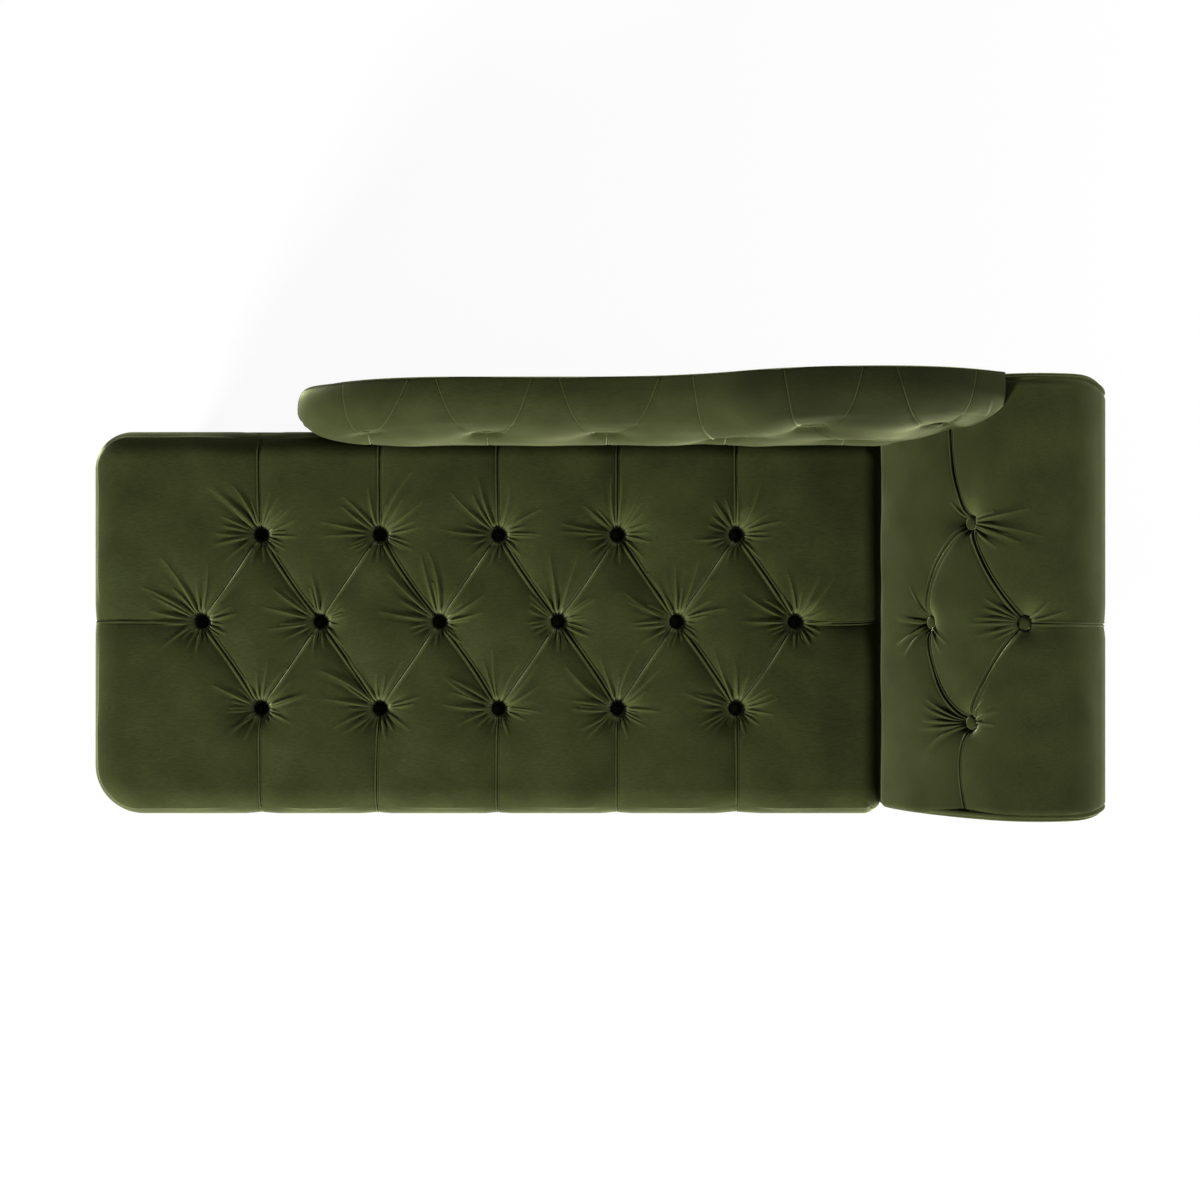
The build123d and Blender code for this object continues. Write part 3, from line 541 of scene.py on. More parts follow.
SLOT_ENDINGS = {
    "leg_glides": "glide_plastic",
    "_bolts": "steel",
    "_twines": "twine",
    "_toggles": "toggle_plastic",
    "_webbing": "webbing",
    "_insulator": "lining_cloth",
    "_foam": "foam",
    "_deck": "hardboard",
    "dust_cover": "lining_cloth",
}


def inner_slot(node):
    """The record's slot of a CAD node that stays as it is."""
    for ending, slot in SLOT_ENDINGS.items():
        if node.endswith(ending):
            return slot
    return "leg_wood" if node.startswith("leg_") else "frame_wood"


# Seat


def seat_tufting():
    """The seat's three rows of buttons, with diamond pleats and pleats to its edges."""
    tufts = Tufting(3, crown=0.004, pleat=0.015, reach=0.034, funnel=0.028, throat=0.44, minor=0.16)
    # Painted highlight and painted shade beside the buttons at a strength of 0.45
    tufts.edge, tufts.mottle_and_lobe_light = 0.55, 0.45
    middle = [(MIDDLE_FIRST + SEAT_PITCH * i, SEAT_MIDDLE) for i in range(6)]
    drawn, down = 0.047, 0.115
    for side, edge in ((1, COVER_REAR + down), (-1, COVER_FRONT - down)):
        row = [(SIDE_FIRST + SEAT_PITCH * i, SEAT_MIDDLE + side * SEAT_ROW) for i in range(5)]
        for i, spot in enumerate(row):
            tufts.add_pleat(middle[i], spot)
            tufts.add_pleat(spot, middle[i + 1])
            tufts.add_pleat(spot, (spot[0], edge), end_depth=0.75, scale=0.8)
            tufts.add_button(spot, drawn)
    tufts.add_pleat(middle[0], (COVER_FOOT - down, SEAT_MIDDLE), end_depth=0.75, scale=0.8)
    tufts.add_pleat(middle[-1], (SEAT_END, SEAT_MIDDLE), end_depth=0.9)
    for spot in middle:
        tufts.add_button(spot, drawn)
    tufts.add_gathers(count=25, rise=0.0062, spread=0.145, lean=1.8)
    return tufts


def seat_surface(x, y, drop):
    """Points and outward directions of the plain seat, a rounded slab, on its top and down its sides."""
    z = SEAT_TOP - drop
    corner = np.where(y < SEAT_MIDDLE, FRONT_CORNER, CORNER)
    ox = np.minimum(x - (COVER_FOOT + corner), 0)
    oy = np.minimum(y - (COVER_FRONT + corner), 0) + np.maximum(y - (COVER_REAR - corner), 0)
    out = np.maximum(np.abs(ox), np.abs(oy))
    length = np.maximum(np.hypot(ox, oy), 1e-9)
    way_x, way_y = ox / length, oy / length
    a = np.maximum(out - (corner - TOP_ROUND), 0)
    b = np.clip(z - (SEAT_TOP - TOP_ROUND), 0, TOP_ROUND)
    reach = np.maximum(np.hypot(a, b), 1e-9)
    rounding = (a > 0) & (b > 0)
    radial = np.where(rounding, (corner - TOP_ROUND) + TOP_ROUND * a / reach, out)
    level = np.where(rounding, SEAT_TOP - TOP_ROUND + TOP_ROUND * b / reach, z)
    low = np.clip((FOAM_TOP + BOTTOM_ROUND - z) / BOTTOM_ROUND, 0, 1)
    radial = radial - np.where(drop > 0, BOTTOM_ROUND * turned_in(low), 0)
    lean = np.where(rounding, a / reach, np.where(drop > 0, 1.0, 0.0))
    rise = np.where(rounding, b / reach, np.where(drop > 0, 0.0, 1.0))
    px = (x - ox) + way_x * radial
    py = (y - oy) + way_y * radial
    tuck = np.clip((x - SEAT_END + TUCK) / TUCK, 0, 1)
    level = level - TUCK_DROP * turned_in(tuck) * (b / TOP_ROUND)
    dx = np.maximum(px - (SEAT_END - HEAD_CORNER), 0)
    dy = np.maximum((COVER_FRONT + HEAD_CORNER) - py, 0)
    square = np.maximum(dx, dy) / np.maximum(np.hypot(dx, dy), 1e-9)
    both = (dx > 0) & (dy > 0)
    px = np.where(both, px - dx * (1 - square), px)
    py = np.where(both, py + dy * (1 - square), py)
    return join(px, py, level), join(way_x * lean, way_y * lean, rise)


def side_share(drop, height):
    """How much of the tufting is left down the seat's sides. The padding doesn't swell there."""
    share = 0.28 + 0.72 * np.exp(-drop / 0.035)
    return np.where(height > 0, height * np.exp(-drop / 0.010), height * share)


def build_seat(tufts):
    """The tufted seat, from its top down its three free sides."""
    spots = np.array([spot for spot, _ in tufts.buttons])
    stations_x = graded(COVER_FOOT, SEAT_END, [*spots[:, 0], COVER_FOOT, SEAT_END], 0.022)
    stations_y = graded(COVER_FRONT, COVER_REAR, [*spots[:, 1], COVER_FRONT, COVER_REAR], 0.026)
    nx, ny, nz = len(stations_x) - 1, len(stations_y) - 1, 30

    def key(i, j, k):
        return (i * (ny + 1) + j) * (nz + 1) + k

    sheets = []
    for side, na, nb in (("top", nx, ny), ("front", nx, nz), ("rear", nx, nz), ("foot", ny, nz)):
        a, b = np.meshgrid(np.arange(na + 1), np.arange(nb + 1), indexing="ij")
        places = {"top": (a, b, nz), "front": (a, 0, b), "rear": (a, ny, b), "foot": (0, a, b)}
        sheet = quads(key(*places[side]))
        sheets.append(sheet[:, ::-1] if side in ("rear", "foot") else sheet)
    keys, faces = np.unique(np.concatenate(sheets), return_inverse=True)
    i, rest = np.divmod(keys, (ny + 1) * (nz + 1))
    j, k = np.divmod(rest, nz + 1)
    x, y = stations_x[i], stations_y[j]
    drop = SEAT_DEEP * (1 - k / nz)
    u = np.where(i == 0, x - drop, x)
    v = np.where(j == 0, y - drop, np.where(j == ny, y + drop, y))
    points, normals = seat_surface(x, y, drop)
    height, painted_light = tufts.height(u, v)
    points = points + normals * side_share(drop, height)[:, None]

    def fold_place(u, v, lift):
        x, y = np.maximum(u, COVER_FOOT), np.clip(v, COVER_FRONT, COVER_REAR)
        drop = np.maximum(np.maximum(COVER_FOOT - u, COVER_FRONT - v), np.maximum(v - COVER_REAR, 0))
        spots, ways = seat_surface(x, y, np.minimum(drop, SEAT_DEEP))
        height = side_share(drop, tufts.plain(u, v)) + lift * np.exp(-drop / 0.09)
        return spots + ways * height[:, None]

    strips = tufts.folds() + tufts.wrinkles()
    folds, fold_faces, fold_crease = fold_mesh(strips, fold_place, len(points))
    front = [key(n, 0, 0) for n in range(nx + 1)]
    rear = [key(n, ny, 0) for n in range(nx, -1, -1)] + [key(0, n, 0) for n in range(ny - 1, 0, -1)]
    head = [key(nx, 0, n) for n in range(nz)] + [key(nx, n, nz) for n in range(ny + 1)]
    head += [key(nx, ny, n) for n in range(nz - 1, -1, -1)]
    caps = [np.searchsorted(keys, loop).tolist() for loop in ((front + rear)[::-1], head)]
    faces = faces.reshape(-1, 4).tolist() + fold_faces + caps
    painted_light = np.concatenate([painted_light, fold_crease])
    points = np.concatenate([points, folds])
    piece = make_piece("seat_cover_tufted", points, faces, velvet, len(caps), painted_light)
    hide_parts("seat_cover")


# Buttons


def build_buttons(name, node, places, material):
    """Covered buttons at points with outward directions, each a soft dome drawn in underneath."""
    rings = [(0.0055, 0.0), (0.0086, 0.0003), (0.0104, 0.0018), (BUTTON_R, 0.0036), (0.0106, 0.0052)]
    rings += [(0.0092, 0.0066), (0.0068, 0.0076), (0.0036, 0.0082)]
    crown_height = 0.0084
    sides = 28
    turn = np.linspace(0, 2 * math.pi, sides, endpoint=False)
    ripple = 1 + 0.012 * np.sin(9 * turn)
    points, faces = [], []
    for spot, outward in places:
        outward = unit(np.array(outward))
        across = unit(np.cross(outward, (0.0, 1.0, 0.0) if abs(outward[1]) < 0.9 else (1.0, 0.0, 0.0)))
        beside = np.cross(outward, across)
        first = len(points)
        for radius, up in rings:
            for t, k in zip(turn, ripple):
                ring = radius * k * (math.cos(t) * across + math.sin(t) * beside)
                points.append(np.array(spot) + ring + outward * up)
        faces += lattice(len(rings), sides, first, True)
        points.append(np.array(spot) + outward * crown_height)
        crown = first + (len(rings) - 1) * sides
        faces += [[crown + n, crown + (n + 1) % sides, len(points) - 1] for n in range(sides)]
        faces.append(list(range(first, first + sides))[::-1])
    piece = make_piece(name, points, faces, material)
    flip_outward(piece)
    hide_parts(node)


# Head end


def arm_profile(inset, s):
    """Points and outward directions along the head end's profile, at lengths s on its outer face."""
    on_straight = s < STRAIGHT
    on_sweep = (s >= STRAIGHT) & (s < STRAIGHT + SWEEP_LENGTH)
    angle_sweep = np.radians(SWEEP_ANGLE) - (s - STRAIGHT) / SWEEP_R
    angle_roll = np.radians(SWEEP_JOIN) - (s - STRAIGHT - SWEEP_LENGTH) / ROLL_R
    angle = np.where(on_sweep, angle_sweep, angle_roll)
    radius = np.where(on_sweep, SWEEP_R, ROLL_R) - inset
    x = np.where(on_sweep, SWEEP_X, ROLL_X) + radius * np.cos(angle)
    z = np.where(on_sweep, SWEEP_Z, ROLL_Z) + radius * np.sin(angle)
    x = np.where(on_straight, ARM_INNER + inset, x)
    z = np.where(on_straight, ARM_FOOT + s, z)
    nx = np.where(on_straight, -1.0, np.cos(angle))
    nz = np.where(on_straight, 0.0, np.sin(angle))
    return x, z, nx, nz


def arm_length(angle):
    """Length along the profile at an angle round it."""
    if angle >= SWEEP_JOIN:
        return STRAIGHT + SWEEP_R * math.radians(SWEEP_ANGLE - angle)
    return STRAIGHT + SWEEP_LENGTH + ROLL_R * math.radians(SWEEP_JOIN - angle)


def roll_end(inset):
    """Angle at which the roll, less an inset, meets the outer posts."""
    return -math.degrees(math.acos((POST_OUTER - ROLL_X) / (ROLL_R - inset)))


def arm_spot(angle, y, depth):
    """A button's seat on the head end, and its outward direction."""
    x, z, nx, nz = (float(value[0]) for value in arm_profile(depth, np.array([arm_length(angle)])))
    return (x, y, z), (nx, 0.0, nz)


ARM_LOW, ARM_SIDE, ARM_HIGH = 150.5, 139.5, 104.0
ARM_REACH = 0.163
# Way in degrees, seen from above, and length of each wrinkle at the rear, upper, lower and front button
ARM_FANS = [
    [(12, 0.090), (-2, 0.105), (-15, 0.080), (-30, 0.070), (-42, 0.065), (118, 0.045), (30, 0.050)],
    [
        (146, 0.085), (156, 0.080), (167, 0.092), (180, 0.100),
        (197, 0.088), (212, 0.060), (38, 0.060), (16, 0.080),
    ],
    [(180, 0.040), (231, 0.060), (246, 0.065), (102, 0.070), (-60, 0.055), (-44, 0.050), (160, 0.035)],
    [
        (150, 0.075), (166, 0.070), (180, 0.066), (202, 0.076),
        (214, 0.078), (58, 0.055), (33, 0.055), (6, 0.045),
    ],
]
FRONT_DRAWN, REAR_DRAWN, ROLL_TIGHT = 0.011, 0.020, 0.0045
ROLL_END = roll_end(0.0)


def arm_tufting():
    """The head end's four buttons in a diamond, with pleats to each edge."""
    tufts = Tufting(11, crown=0.003, pleat=0.0105, reach=0.034, funnel=0.026, throat=0.28)
    # Painted highlight and painted shade beside the buttons at a strength of 0.45
    tufts.mottle_and_lobe_light = 0.45
    drawn = 0.029
    low = (arm_length(ARM_LOW), SEAT_MIDDLE)
    high = (arm_length(ARM_HIGH), SEAT_MIDDLE)
    for side in (1, -1):
        spot = (arm_length(ARM_SIDE), SEAT_MIDDLE + side * ARM_REACH)
        tufts.add_pleat(low, spot, bend=side * 0.022)
        tufts.add_pleat(spot, high, bend=side * -0.006)
        edge = BOARD_REAR if side > 0 else BOARD_FRONT
        lead = (spot[0] - 0.036 * (side > 0), edge)
        tufts.add_pleat(spot, lead, end_depth=0.8, bend=side * 0.012)
        tufts.add_button(spot, drawn)
    tufts.add_pleat(high, (arm_length(ROLL_END), SEAT_MIDDLE), end_depth=0.6)
    tufts.add_button(low, drawn)
    tufts.add_button(high, drawn)
    side = arm_length(ARM_SIDE)
    for spot, angle, fan in (
        ((side, SEAT_MIDDLE + ARM_REACH), ARM_SIDE, ARM_FANS[0]),
        (high, ARM_HIGH, ARM_FANS[1]),
        (low, ARM_LOW, ARM_FANS[2]),
        ((side, SEAT_MIDDLE - ARM_REACH), ARM_SIDE, ARM_FANS[3]),
    ):
        for way, length in fan:
            way = math.radians(way)
            along, beside = math.cos(way) / math.sin(math.radians(angle)), math.sin(way)
            rise = 0.0065 * tufts.random.uniform(0.7, 1.0)
            curve = tufts.random.uniform(-1.5, 1.5)
            longer = length * np.hypot(along, beside)
            tufts.add_wrinkle(spot, math.atan2(beside, along), longer, rise, curve)
    return tufts


def drawn_tight(x):
    """X of the roll's ends, where the cloth is drawn tight over the padding's outer side."""
    return x - ROLL_TIGHT * ease((x - 0.774) / 0.062)


def drawn_share(x):
    """How far the roll's outer side is drawn in at its ends, from 0 to 1."""
    return np.clip((x - 0.790) / 0.068, 0, 1) ** 2.2


def end_shift(x, y, z):
    """How far the head end's ends give way: full at the front foot, drawn in on the roll's outer side."""
    outer = drawn_share(x)
    front = FRONT_DRAWN * outer - 0.008 * (1 - ease((z - 0.55) / 0.12))
    rear = -REAR_DRAWN * outer
    reach = 0.06
    near_front = ease((BOARD_FRONT + reach - y) / reach)
    near_rear = ease((y - BOARD_REAR + reach) / reach)
    return front * near_front + rear * near_rear


def arm_points(s, y, height):
    """Points of the head end's cover at flat coordinates, at a height over its plain surface."""
    x, z, nx, nz = arm_profile(0.0, s)
    above = ease((z - 0.425) / 0.03)
    share = np.where(s < arm_length(20), above, 0.8)
    outer = ease((s - arm_length(70)) / 0.08)
    tight = outer * (1 - ease((s - arm_length(0)) / 0.10))
    height = np.where(height > 0, height * (1 - outer), height) * share - ROLL_TIGHT * tight
    edge = np.minimum(y - BOARD_FRONT, BOARD_REAR - y)
    height = height - END_ROUND * turned_in(np.clip(1 - edge / END_ROUND, 0, 1))
    return join(x + nx * height, y + end_shift(x, y, z), z + nz * height)


def build_arm(tufts):
    """The head end's padded cover, from behind the seat up the sweep and over the roll."""
    end = arm_length(ROLL_END)
    spots = np.array([spot for spot, _ in tufts.buttons])
    s = graded(0, end, spots[:, 0], 0.024)
    y = graded(BOARD_FRONT, BOARD_REAR, [*spots[:, 1], BOARD_FRONT, BOARD_REAR], 0.024)
    grid_s, grid_y = np.meshgrid(s, y, indexing="ij")
    height, painted_light = tufts.height(grid_s, grid_y)
    points = arm_points(grid_s, grid_y, height)
    rows, columns = points.shape[:2]
    faces = turned(lattice(rows, columns))

    inner_s = np.linspace(0, end, 90)
    ix, iz, _, _ = arm_profile(ARM_PAD - 0.001, inner_s)
    keep = ~((iz < 0.52) & (ix > ROLL_X))
    ix, iz = ix[keep], iz[keep]
    ix = np.append(ix, POST_OUTER - 0.002)
    iz = np.append(iz, ROLL_Z - arc(ROLL_R - ARM_PAD, POST_OUTER - ROLL_X))
    inner = np.stack([join(ix, BOARD_FRONT, iz), join(ix, BOARD_REAR, iz)], axis=1)
    first = rows * columns
    faces += lattice(len(ix), 2, first)
    at = np.arange(first).reshape(rows, columns)
    inside = first + np.arange(2 * len(ix)).reshape(-1, 2)
    caps = [
        at[:, 0].tolist() + inside[::-1, 0].tolist(),
        at[::-1, -1].tolist() + inside[:, 1].tolist(),
        at[0, ::-1].tolist() + inside[0].tolist(),
        at[-1].tolist() + inside[-1, ::-1].tolist(),
    ]

    def fold_place(u, v, lift):
        return arm_points(u, v, tufts.plain(u, v) + lift)

    points = np.concatenate([points.reshape(-1, 3), inner.reshape(-1, 3)])
    strips = tufts.folds() + tufts.wrinkles()
    folds, fold_faces, fold_crease = fold_mesh(strips, fold_place, len(points))
    faces += turned(fold_faces) + caps
    points = np.concatenate([points, folds])
    painted_light = np.concatenate([painted_light.ravel(), np.zeros(inside.size), fold_crease])
    piece = make_piece("arm_cover_tufted", points, faces, shaded_upright_velvet, len(caps), painted_light)
    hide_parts("arm_cover")


def scroll_outline(inset, bottom):
    """The head end's front outline, closed, from its inner foot over the roll to its outer foot."""
    x, z, _, _ = arm_profile(inset, np.linspace(STRAIGHT, arm_length(SWEEP_JOIN), 60)[:-1])
    angle = np.radians(np.linspace(SWEEP_JOIN, roll_end(inset), 110))
    radius = ROLL_R - inset
    x = np.concatenate([[ARM_INNER + inset], x, ROLL_X + radius * np.cos(angle), [POST_OUTER]])
    z = np.concatenate([[bottom], z, ROLL_Z + radius * np.sin(angle), [bottom]])
    return join(x, z)


# Panels


def shrink(outline, inset):
    """A closed outline moved inward by a small amount, corner by corner. It runs clockwise."""
    ahead = unit(np.roll(outline, -1, axis=0) - outline)
    inward = join(ahead[:, 1], -ahead[:, 0])
    both = inward + np.roll(inward, 1, axis=0)
    both /= np.maximum((both**2).sum(axis=-1, keepdims=True) / 2, 0.5)
    return outline + both * inset


def walk(corners, counts):
    """A closed outline through corners, with a count of points for each side."""
    sides = zip(corners, corners[1:] + corners[:1], counts)
    return np.concatenate([np.linspace(a, b, count, endpoint=False) for a, b, count in sides])


def build_panel(name, node, outline, y_back, y_face, rounding=0.004, swell=0.002, drawn=0.0):
    """An upholstered panel over an outline in X and Z, with a soft edge, its outer side drawn in."""
    way = math.copysign(1.0, y_face - y_back)
    profile = [(0.0, y_back)]
    for angle in np.radians(np.linspace(0, 90, 5)):
        back = rounding * (1 - math.sin(angle))
        profile.append((rounding * (1 - math.cos(angle)), y_face - way * back))
    profile += [(rounding + 0.004, y_face + way * swell * 0.45), (rounding + 0.012, y_face + way * swell)]
    rings = []
    for inset, y in profile:
        x, z = shrink(outline, inset).T
        depth = y - way * drawn * drawn_share(x)
        rings.append(join(drawn_tight(x) if drawn else x, depth, z))
    piece = wrap_rings(name, np.array(rings), trim_velvet)
    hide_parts(node)


def build_outer_panel():
    """The upright panel under the roll, at the head end's outer face."""
    top = ROLL_Z - arc(ROLL_R, PANEL_INNER - ROLL_X) - 0.001
    corners = [(BOARD_FRONT, LEG_TOP), (BOARD_FRONT, top), (BOARD_REAR, top), (BOARD_REAR, LEG_TOP)]
    outline = walk(corners, (30, 30, 30, 30))
    profile = [(0.0, PANEL_INNER), (0.0, POST_OUTER - 0.004), (0.0012, POST_OUTER - 0.0012)]
    profile += [(0.004, POST_OUTER), (0.009, POST_OUTER + 0.0010)]
    rings = [join(x, *shrink(outline, inset).T) for inset, x in profile]
    piece = wrap_rings("arm_outer_panel_cloth", np.array(rings), trim_velvet)
    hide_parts("arm_outer_panel")
    seam = np.linspace(BOARD_FRONT + 0.001, BOARD_REAR - 0.001, 60)
    build_cord("arm_outer_welt", join(POST_OUTER - 0.0035, seam, top + 0.0016), 0.0040)


def build_cord(name, path, radius=WELT_R):
    """A covered welt cord along a path, cut flat at both ends."""
    up = np.array([0.0, 1.0, 0.0] if np.ptp(path[:, 2]) > 0.05 else [0.0, 0.0, 1.0])
    beside = np.cross(unit(np.gradient(path, axis=0)), up)
    turn = np.linspace(0, 2 * math.pi, 10, endpoint=False)[None, :, None]
    rings = path[:, None] + radius * (np.cos(turn) * beside[:, None] + np.sin(turn) * up)
    wrap_rings(name, rings, trim_velvet)


# Back


def crest(x):
    """Height of the back's outline at x."""
    tip = TIP_Z + arc(TIP_R, np.minimum(x - TIP_X, 0))
    rise = BACK_LOW + CYMA_R - arc(CYMA_R, np.clip(x - VALLEY, 0, CYMA_HALF - VALLEY))
    hump = BACK_HIGH - CYMA_R + arc(CYMA_R, np.clip(HUMP - x, 0, HUMP - CYMA_HALF))
    fall = BACK_HIGH - FALL_R + arc(FALL_R, np.maximum(x - HUMP, 0))
    return np.where(x < TIP_X, tip, np.where(x < CYMA_HALF, rise, np.where(x < HUMP, hump, fall)))


def arm_top(x):
    """Height of the head end's surface at x."""
    meet = SWEEP_X + SWEEP_R * math.cos(math.radians(SWEEP_JOIN))
    return np.where(x < meet, SWEEP_Z + arc(SWEEP_R, SWEEP_X - x), ROLL_Z + arc(ROLL_R, ROLL_X - x))


def rim_distance(x, z):
    """How far inside the back's outline points are, how far it faces sideways there, and to the foot."""
    turn = math.asin((CYMA_HALF - VALLEY) / CYMA_R) + 1e-6
    far, side, foot = np.full_like(x, 9.0), np.zeros_like(x), np.zeros_like(x)

    def nearer(valid, gap, lean, to_foot):
        better = valid & (gap < far)
        far[better] = gap[better]
        side[better] = lean[better]
        foot[better] = to_foot

    nearer((x <= TIP_X) & (z < TIP_Z), x - BACK_FOOT, np.ones_like(x), 1.0)
    nearer((x >= TIP_X) & (x <= VALLEY), BACK_LOW - z, np.zeros_like(x), 0.0)
    arcs = [
        (x - TIP_X, z - TIP_Z, TIP_R, 1, -math.pi / 2, 0.0, 1.0),
        (x - VALLEY, BACK_LOW + CYMA_R - z, CYMA_R, -1, 0.0, turn, 0.0),
        (x - HUMP, z - BACK_HIGH + CYMA_R, CYMA_R, 1, -turn, 0.0, 0.0),
        (x - HUMP, z - BACK_HIGH + FALL_R, FALL_R, 1, 0.0, math.pi / 2, 0.0),
    ]
    for across, up, radius, way, first, last, to_foot in arcs:
        angle = np.arctan2(across, up)
        r = np.maximum(np.hypot(across, up), 1e-9)
        nearer((angle >= first) & (angle <= last), way * (radius - r), (across / r) ** 2, to_foot)
    return far, side, foot


def rim_depth(side, foot):
    """Depth Y of the rim: the crest's edge, and further forward where it turns down the foot end."""
    return BACK_REAR - RIM_FORWARD * side * foot


def swelling(share):
    """How far the padding has swelled at a share of the way in from the rim."""
    return (1 - (1 - share) ** SWELL_POWER) ** (1 / SWELL_POWER)


def back_depth(x, z):
    """Depth Y of the back's padding, how far inside its outline that is, and how far round the foot."""
    far, side, foot = rim_distance(x, z)
    far = np.maximum(far, 0)
    to_foot = np.sqrt(SWELL_FOOT**2 * side + SWELL**2 * (1 - side))
    wide = np.maximum(np.where(foot > 0, to_foot, SWELL * np.sqrt(1 - side)), SWELL_LEAST)
    full = swelling(np.clip(far / wide, 0, 1))
    rim = rim_depth(side, foot)
    front = BACK_FRONT + 0.026 * np.clip((x - 0.49) / 0.178, 0, 1) ** 1.3
    over_deck = rim - DECK_PAD / swelling(np.clip(np.maximum(far, DECK_RIM) / wide, 0, 1))
    front = np.minimum(front, over_deck + 0.05 * ease((x - 0.640) / 0.030))
    return rim - (rim - front) * full, far, side * foot


class BackBase:
    """The back's plain padding: columns along X, rows from its rear edge over the crest and down."""

    def __init__(self):
        foot_x = TIP_X - arc(TIP_R, BACK_PAD_BOTTOM + 0.002 - TIP_Z)
        spots = [foot_x, foot_x + 0.03, BACK_HEAD] + [x for x, _ in BACK_SPOTS]
        self.x = x = graded(foot_x, BACK_HEAD, spots, 0.025, 0.0018, 0.0034)
        top = crest(x)
        on_arm = np.maximum(arm_top(x) - 0.006, BACK_PAD_BOTTOM)
        self.bottom = bottom = np.where(x < ARM_INNER, BACK_PAD_BOTTOM, on_arm)
        rows = np.arange(1, PAD_ROWS + 1)
        down = np.concatenate([0.55 * (rows / PAD_ROWS) ** 2, 0.55 + 0.45 * rows / PAD_ROWS])
        z = top[:, None] - (top - bottom)[:, None] * down[None]
        columns = np.repeat(x[:, None], z.shape[1], axis=1)
        y, away, full_end = back_depth(columns, z)
        round_under = np.where(x < ARM_INNER, 0.026, 0.018)
        round_under = np.minimum(round_under, 0.8 * (top - bottom))[:, None]
        under = np.clip(1 - (z - bottom[:, None]) / round_under, 0, 1)
        y = np.minimum(y + round_under * turned_in(under), BACK_REAR)
        full_end = full_end * (1 - ease(away / 0.06))
        front = join(columns - FOOT_LEAN * full_end, y, z)

        _, side, foot = rim_distance(x, top - 1e-5)
        way = unit(join(-np.gradient(top, x), 1.0))
        rim = rim_depth(side, foot)
        edge = []
        for angle in np.radians(np.linspace(90, 0, EDGE_ROWS)):
            inset = (0.0025 + 0.019 * side * foot) * (1 - math.cos(angle))
            y = rim + (Y_REAR - 0.0005 - rim) * math.sin(angle)
            edge_x = x - way[:, 0] * inset - FOOT_LEAN * side * foot
            edge.append(join(edge_x, y, top - way[:, 1] * inset))
        self.points = np.concatenate([np.stack(edge, axis=1), front], axis=1)
        self.normals = -surface_normals(self.points)
        self.away = np.concatenate([np.zeros((len(x), len(edge))), away], axis=1)
        steps = np.linalg.norm(np.diff(self.points, axis=1), axis=-1)
        self.v = np.concatenate([np.zeros((len(x), 1)), np.cumsum(steps, axis=1)], axis=1)

    def flat(self, x, z):
        """How far down the cloth from the rear edge a place on the front is."""
        column = int(np.abs(self.x - x).argmin())
        return float(np.interp(-z, -self.points[column, EDGE_ROWS:, 2], self.v[column, EDGE_ROWS:]))

    def place(self, u, v, height):
        """Points at flat coordinates, at a height over the plain padding."""
        column = np.clip(np.searchsorted(self.x, u) - 1, 0, len(self.x) - 2)
        part = ((u - self.x[column]) / (self.x[column + 1] - self.x[column]))[:, None]
        count = self.v.shape[1]
        sheet = np.concatenate([self.points, self.normals, self.away[..., None]], axis=-1)
        looks = []
        for at in (column, column + 1):
            row = np.array([np.interp(v[n], self.v[i], np.arange(count)) for n, i in enumerate(at)])
            low = np.minimum(row.astype(int), count - 2)
            share = (row - low)[:, None]
            looks.append(sheet[at, low] * (1 - share) + sheet[at, low + 1] * share)
        look = looks[0] * (1 - part) + looks[1] * part
        return look[:, :3] + look[:, 3:6] * back_limit(height, look[:, 6])[:, None]


def back_limit(height, away):
    """Keeps the tufting shallow along the rim, where the frame is close under the cloth."""
    most = 0.0022 + 0.033 * ease((away - 0.040) / 0.065)
    over = height * (0.4 + 0.6 * ease(away / 0.04))
    return np.where(height < 0, -most * (1 - np.exp(height / most)), over)


def back_tufting(base):
    """The back's row of buttons and the pair under its hump, with pleats in a V over the crest."""
    tufts = Tufting(
        23, crown=0.0005, pleat=0.011, reach=0.030, funnel=0.028, throat=0.2, fold=0.55, minor=0.0
    )
    tufts.edge = 1.0
    spots = [(x, base.flat(x, z)) for x, z in BACK_SPOTS]
    low, high = spots[:5], spots[5:]
    leads = [(-0.036, 0.080), (-0.080, 0.080), (-0.080, 0.086), (-0.066,), ()]
    leads += [(-0.056, 0.068), (-0.084, 0.052)]
    for (x, z), spot, lead in zip(BACK_SPOTS, spots, leads):
        for shift in lead:
            start = (x + math.copysign(0.017, shift), spot[1] - 0.005)
            tufts.add_pleat(start, (x + shift, 0.0), end_depth=0.85, bend=0.03 * shift, scale=0.5)
        depth = float(BUTTON_BACK - back_depth(np.array([x]), np.array([z]))[0][0]) + tufts.crown
        tufts.add_button(spot, depth, open_up=0.45 if spot in high else 1.0, slot=0.012)
    for spot in low:
        tufts.add_pleat(spot, (spot[0], spot[1] + 0.115), end_depth=0.8, bend=0.0, scale=0.22)
    tufts.add_pleat(low[4], high[0], bend=0.010, scale=0.25)
    return tufts


def back_painted_light(x, z):
    """How far the back is painted: painted shade on the hump and head end, a painted highlight at the
    bottom.
    """
    dark = np.maximum(ease((z - 0.70) / 0.08), ease((x - 0.60) / 0.04))
    return 0.45 * dark + 0.05 * ease((z - 0.58) / 0.04) - 0.18 * ease((0.57 - z) / 0.05)


